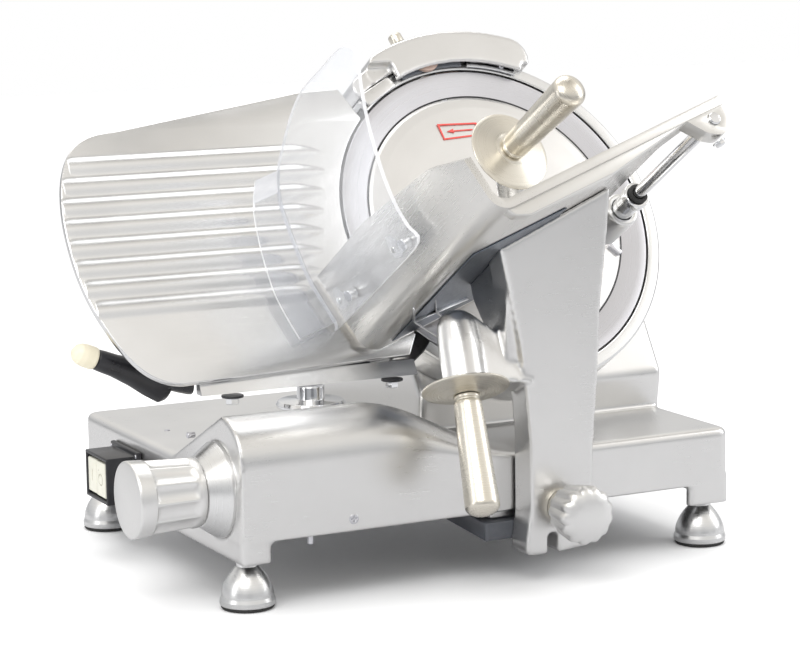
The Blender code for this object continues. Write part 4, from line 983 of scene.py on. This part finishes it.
tie_line = [(0.3, 8, 0), (1.2, 11, 0.4), (6, 15.2, 1.8), (17, 15.5, 2), (19.4, 14.2, 1.2), (20.2, 11.5, 0.3)]
cover_knob = lobed("cover_knob", [(-TIE_END - h, r, flute) for h, r, flute in tie_line], 7, BLADE)
show(cover_knob, "tie", BLACK, "tie_knob")
run = Vector(back_knee) - Vector(back_top)
normal = Vector((-run.y, run.x)).normalized()
panel_mid = (Vector(back_top) + Vector(back_knee)) / 2 + normal * 3.3
tilt = atan2(run.x, -run.y)
louvre_outline = oblong((-52, -1.6), (52, 1.6), 1.5)
for number in range(7):
    shift = -42 + 9.0 * number
    at = panel_mid - run.normalized() * shift
    slat = spot(MACHINE, (370, at.x, at.y), (pi / 2 - tilt, 0, 0))
    louvre = plate("louvre_%d" % number, [louvre_outline], -1.6, 0.3, spot(slat, turn=FLIP))
    show(softened(louvre, 0.4, 2), "frame", BLACK)
for number, (x, along_panel) in enumerate(((216, -58), (445, -58), (216, 58), (445, 58)), 1):
    at = panel_mid + run.normalized() * along_panel
    screw_at = spot(MACHINE, (x, at.x, at.y), (pi / 2 - tilt + pi, 0, 0))
    screw("panel_screw_%d" % number, screw_at, "frame", 3.6, 1.8, 32)
gland_at = spot(MACHINE, (70, BASE_BACK + 0.3, 82), TO_BACK)
gland_line = [(3.8, 16), (6, 16), (7.6, 13.6), (8.6, 7.2), (9, 6), (12, 5.4), (12, 0), (3.8, 0)]
show(lathe("inlet_gland", gland_line, gland_at, 72, 0.5), "frame", BLACK, "cord_gland")

# ---------------------------------------------------------------- the CAD nodes that stay

KEPT = {STEEL: ("bottom_cover", "rear_cover", "guide_bar", "index_cam"),
        GROUND: ("blade_shaft", "blade_bearing_1", "blade_bearing_2", "tie_rod", "motor_shaft",
                 "motor_pulley", "index_shaft", "gauge_guide_rod", "lock_stud"),
        CHROME: ("slide_rod",), CAST: ("slide_block", "gauge_slide", "blade_pulley"),
        PAINT: ("motor", "motor_bracket"), RUBBER: ("drive_belt",)}
for material, names in KEPT.items():
    for name in names:
        node = frame["nodes"][name]
        node.data.materials.clear()
        node.data.materials.append(material)

# ---------------------------------------------------------------- floor, light and camera

sheet = bmesh.new()
bmesh.ops.create_grid(sheet, x_segments=1, y_segments=1, size=6000)
floor = thing("floor", sheet, Matrix.Translation((0, 0, -0.5 * MM)))
paper = Nodes("floor_paper", Roughness=0.9)
grain = paper.noise(paper.place, 3.0, 2.0)
pale = paper.blend(paper.spread(grain, 0, 1), (0.965, 0.965, 0.965), (0.975, 0.975, 0.975))
mirrored = paper.add("ShaderNodeLightPath").outputs["Is Glossy Ray"]   # the metal sees a darker floor
shade = paper.add("ShaderNodeMix", {0: mirrored, 6: pale, 7: (0.60, 0.60, 0.61, 1)}, data_type="RGBA")
paper.into("Base Color", shade.outputs[2])
floor.data.materials.append(paper.material)

world = bpy.data.worlds.new("studio")
bpy.context.scene.world = world
world.use_nodes = True
tree = world.node_tree
place = add_node(tree, "ShaderNodeTexCoord").outputs["Generated"]
height = add_node(tree, "ShaderNodeSeparateXYZ", {0: place}).outputs["Z"]
spread = {"Value": height, "From Min": -1.0, "From Max": 1.0}
rise = add_node(tree, "ShaderNodeMapRange", spread).outputs["Result"]
blur = add_node(tree, "ShaderNodeTexNoise", {"Vector": place, "Scale": 1.3, "Detail": 1.0}).outputs["Fac"]
sway = add_node(tree, "ShaderNodeMath", {0: blur, 1: 0.30, 2: -0.15}, operation="MULTIPLY_ADD").outputs[0]
total = add_node(tree, "ShaderNodeMath", {0: rise, 1: sway}, operation="ADD").outputs[0]
ramp = add_node(tree, "ShaderNodeValToRGB", {"Fac": total})
ramp.color_ramp.interpolation = "EASE"
ramp.color_ramp.elements[0].color = (0.30, 0.31, 0.33, 1)
ramp.color_ramp.elements[1].color = (0.36, 0.37, 0.38, 1)
stops = ((0.49, 0.24, -0.03), (0.53, 0.50, -0.02), (0.60, 0.74, -0.01), (0.72, 0.92, 0.01),
         (0.84, 1.08, 0.03), (0.92, 0.86, 0.04), (0.97, 0.50, 0.03))
for position, level, warmth in stops:
    stop = ramp.color_ramp.elements.new(position)
    stop.color = (0.92 * level * (1 + warmth), 0.92 * level, 0.92 * level * (1 - 1.6 * warmth), 1)
sky = ramp.outputs["Color"]
rays = add_node(tree, "ShaderNodeLightPath").outputs
for kind, level in (("Is Diffuse Ray", 1.13), ("Is Camera Ray", 1.0)):
    even = {0: rays[kind], 6: sky, 7: (level, level, level, 1)}
    sky = add_node(tree, "ShaderNodeMix", even, data_type="RGBA").outputs[2]
tree.links.new(sky, tree.nodes["Background"].inputs["Color"])


def soft_light(name, at, aim, size, power, colour=(1, 1, 1)):
    """A rectangular lamp, in metres and watts, turned to a point."""
    light = bpy.data.lights.new(name, "AREA")
    light.shape = "RECTANGLE"
    light.size, light.size_y = size
    light.energy = power
    light.color = colour
    lamp = bpy.data.objects.new(name, light)
    bpy.context.scene.collection.objects.link(lamp)
    lamp.location = at
    lamp.rotation_euler = (Vector(aim) - Vector(at)).to_track_quat("-Z", "Y").to_euler()
    return lamp


soft_light("key", (-1.1, -1.2, 1.9), (0, 0, 0.15), (1.4, 1.0), 17)
soft_light("side", (1.7, -0.7, 1.0), (0, 0, 0.2), (0.7, 1.4), 7, (0.97, 0.98, 1.0))
soft_light("top", (0.1, 0.5, 1.9), (0, 0, 0.2), (1.6, 1.0), 11)
soft_light("front_left", (-1.9, -0.2, 0.7), (-0.1, 0, 0.2), (0.5, 1.2), 4)

CAMERA_AT = (-811.6, -1902.9, 558.8)
YAW, PITCH, ROLL = radians(26.65), radians(9.06), radians(-0.86)
look = Vector((sin(YAW) * cos(PITCH), cos(YAW) * cos(PITCH), -sin(PITCH)))
side = Vector((cos(YAW), -sin(YAW), 0))
over = side.cross(look)
camera_data = bpy.data.cameras.new("camera")
camera_data.sensor_width = 36.0
camera_data.lens = 116.75
camera_data.clip_end = 50.0
camera = bpy.data.objects.new("camera", camera_data)
bpy.context.scene.collection.objects.link(camera)
camera_x = side * cos(ROLL) + over * sin(ROLL)
camera_y = over * cos(ROLL) - side * sin(ROLL)
camera.matrix_world = axes(MACHINE @ Vector([v * MM for v in CAMERA_AT]), camera_x, camera_y, -look)
bpy.context.scene.camera = camera
bpy.context.scene.view_settings.view_transform = "Standard"
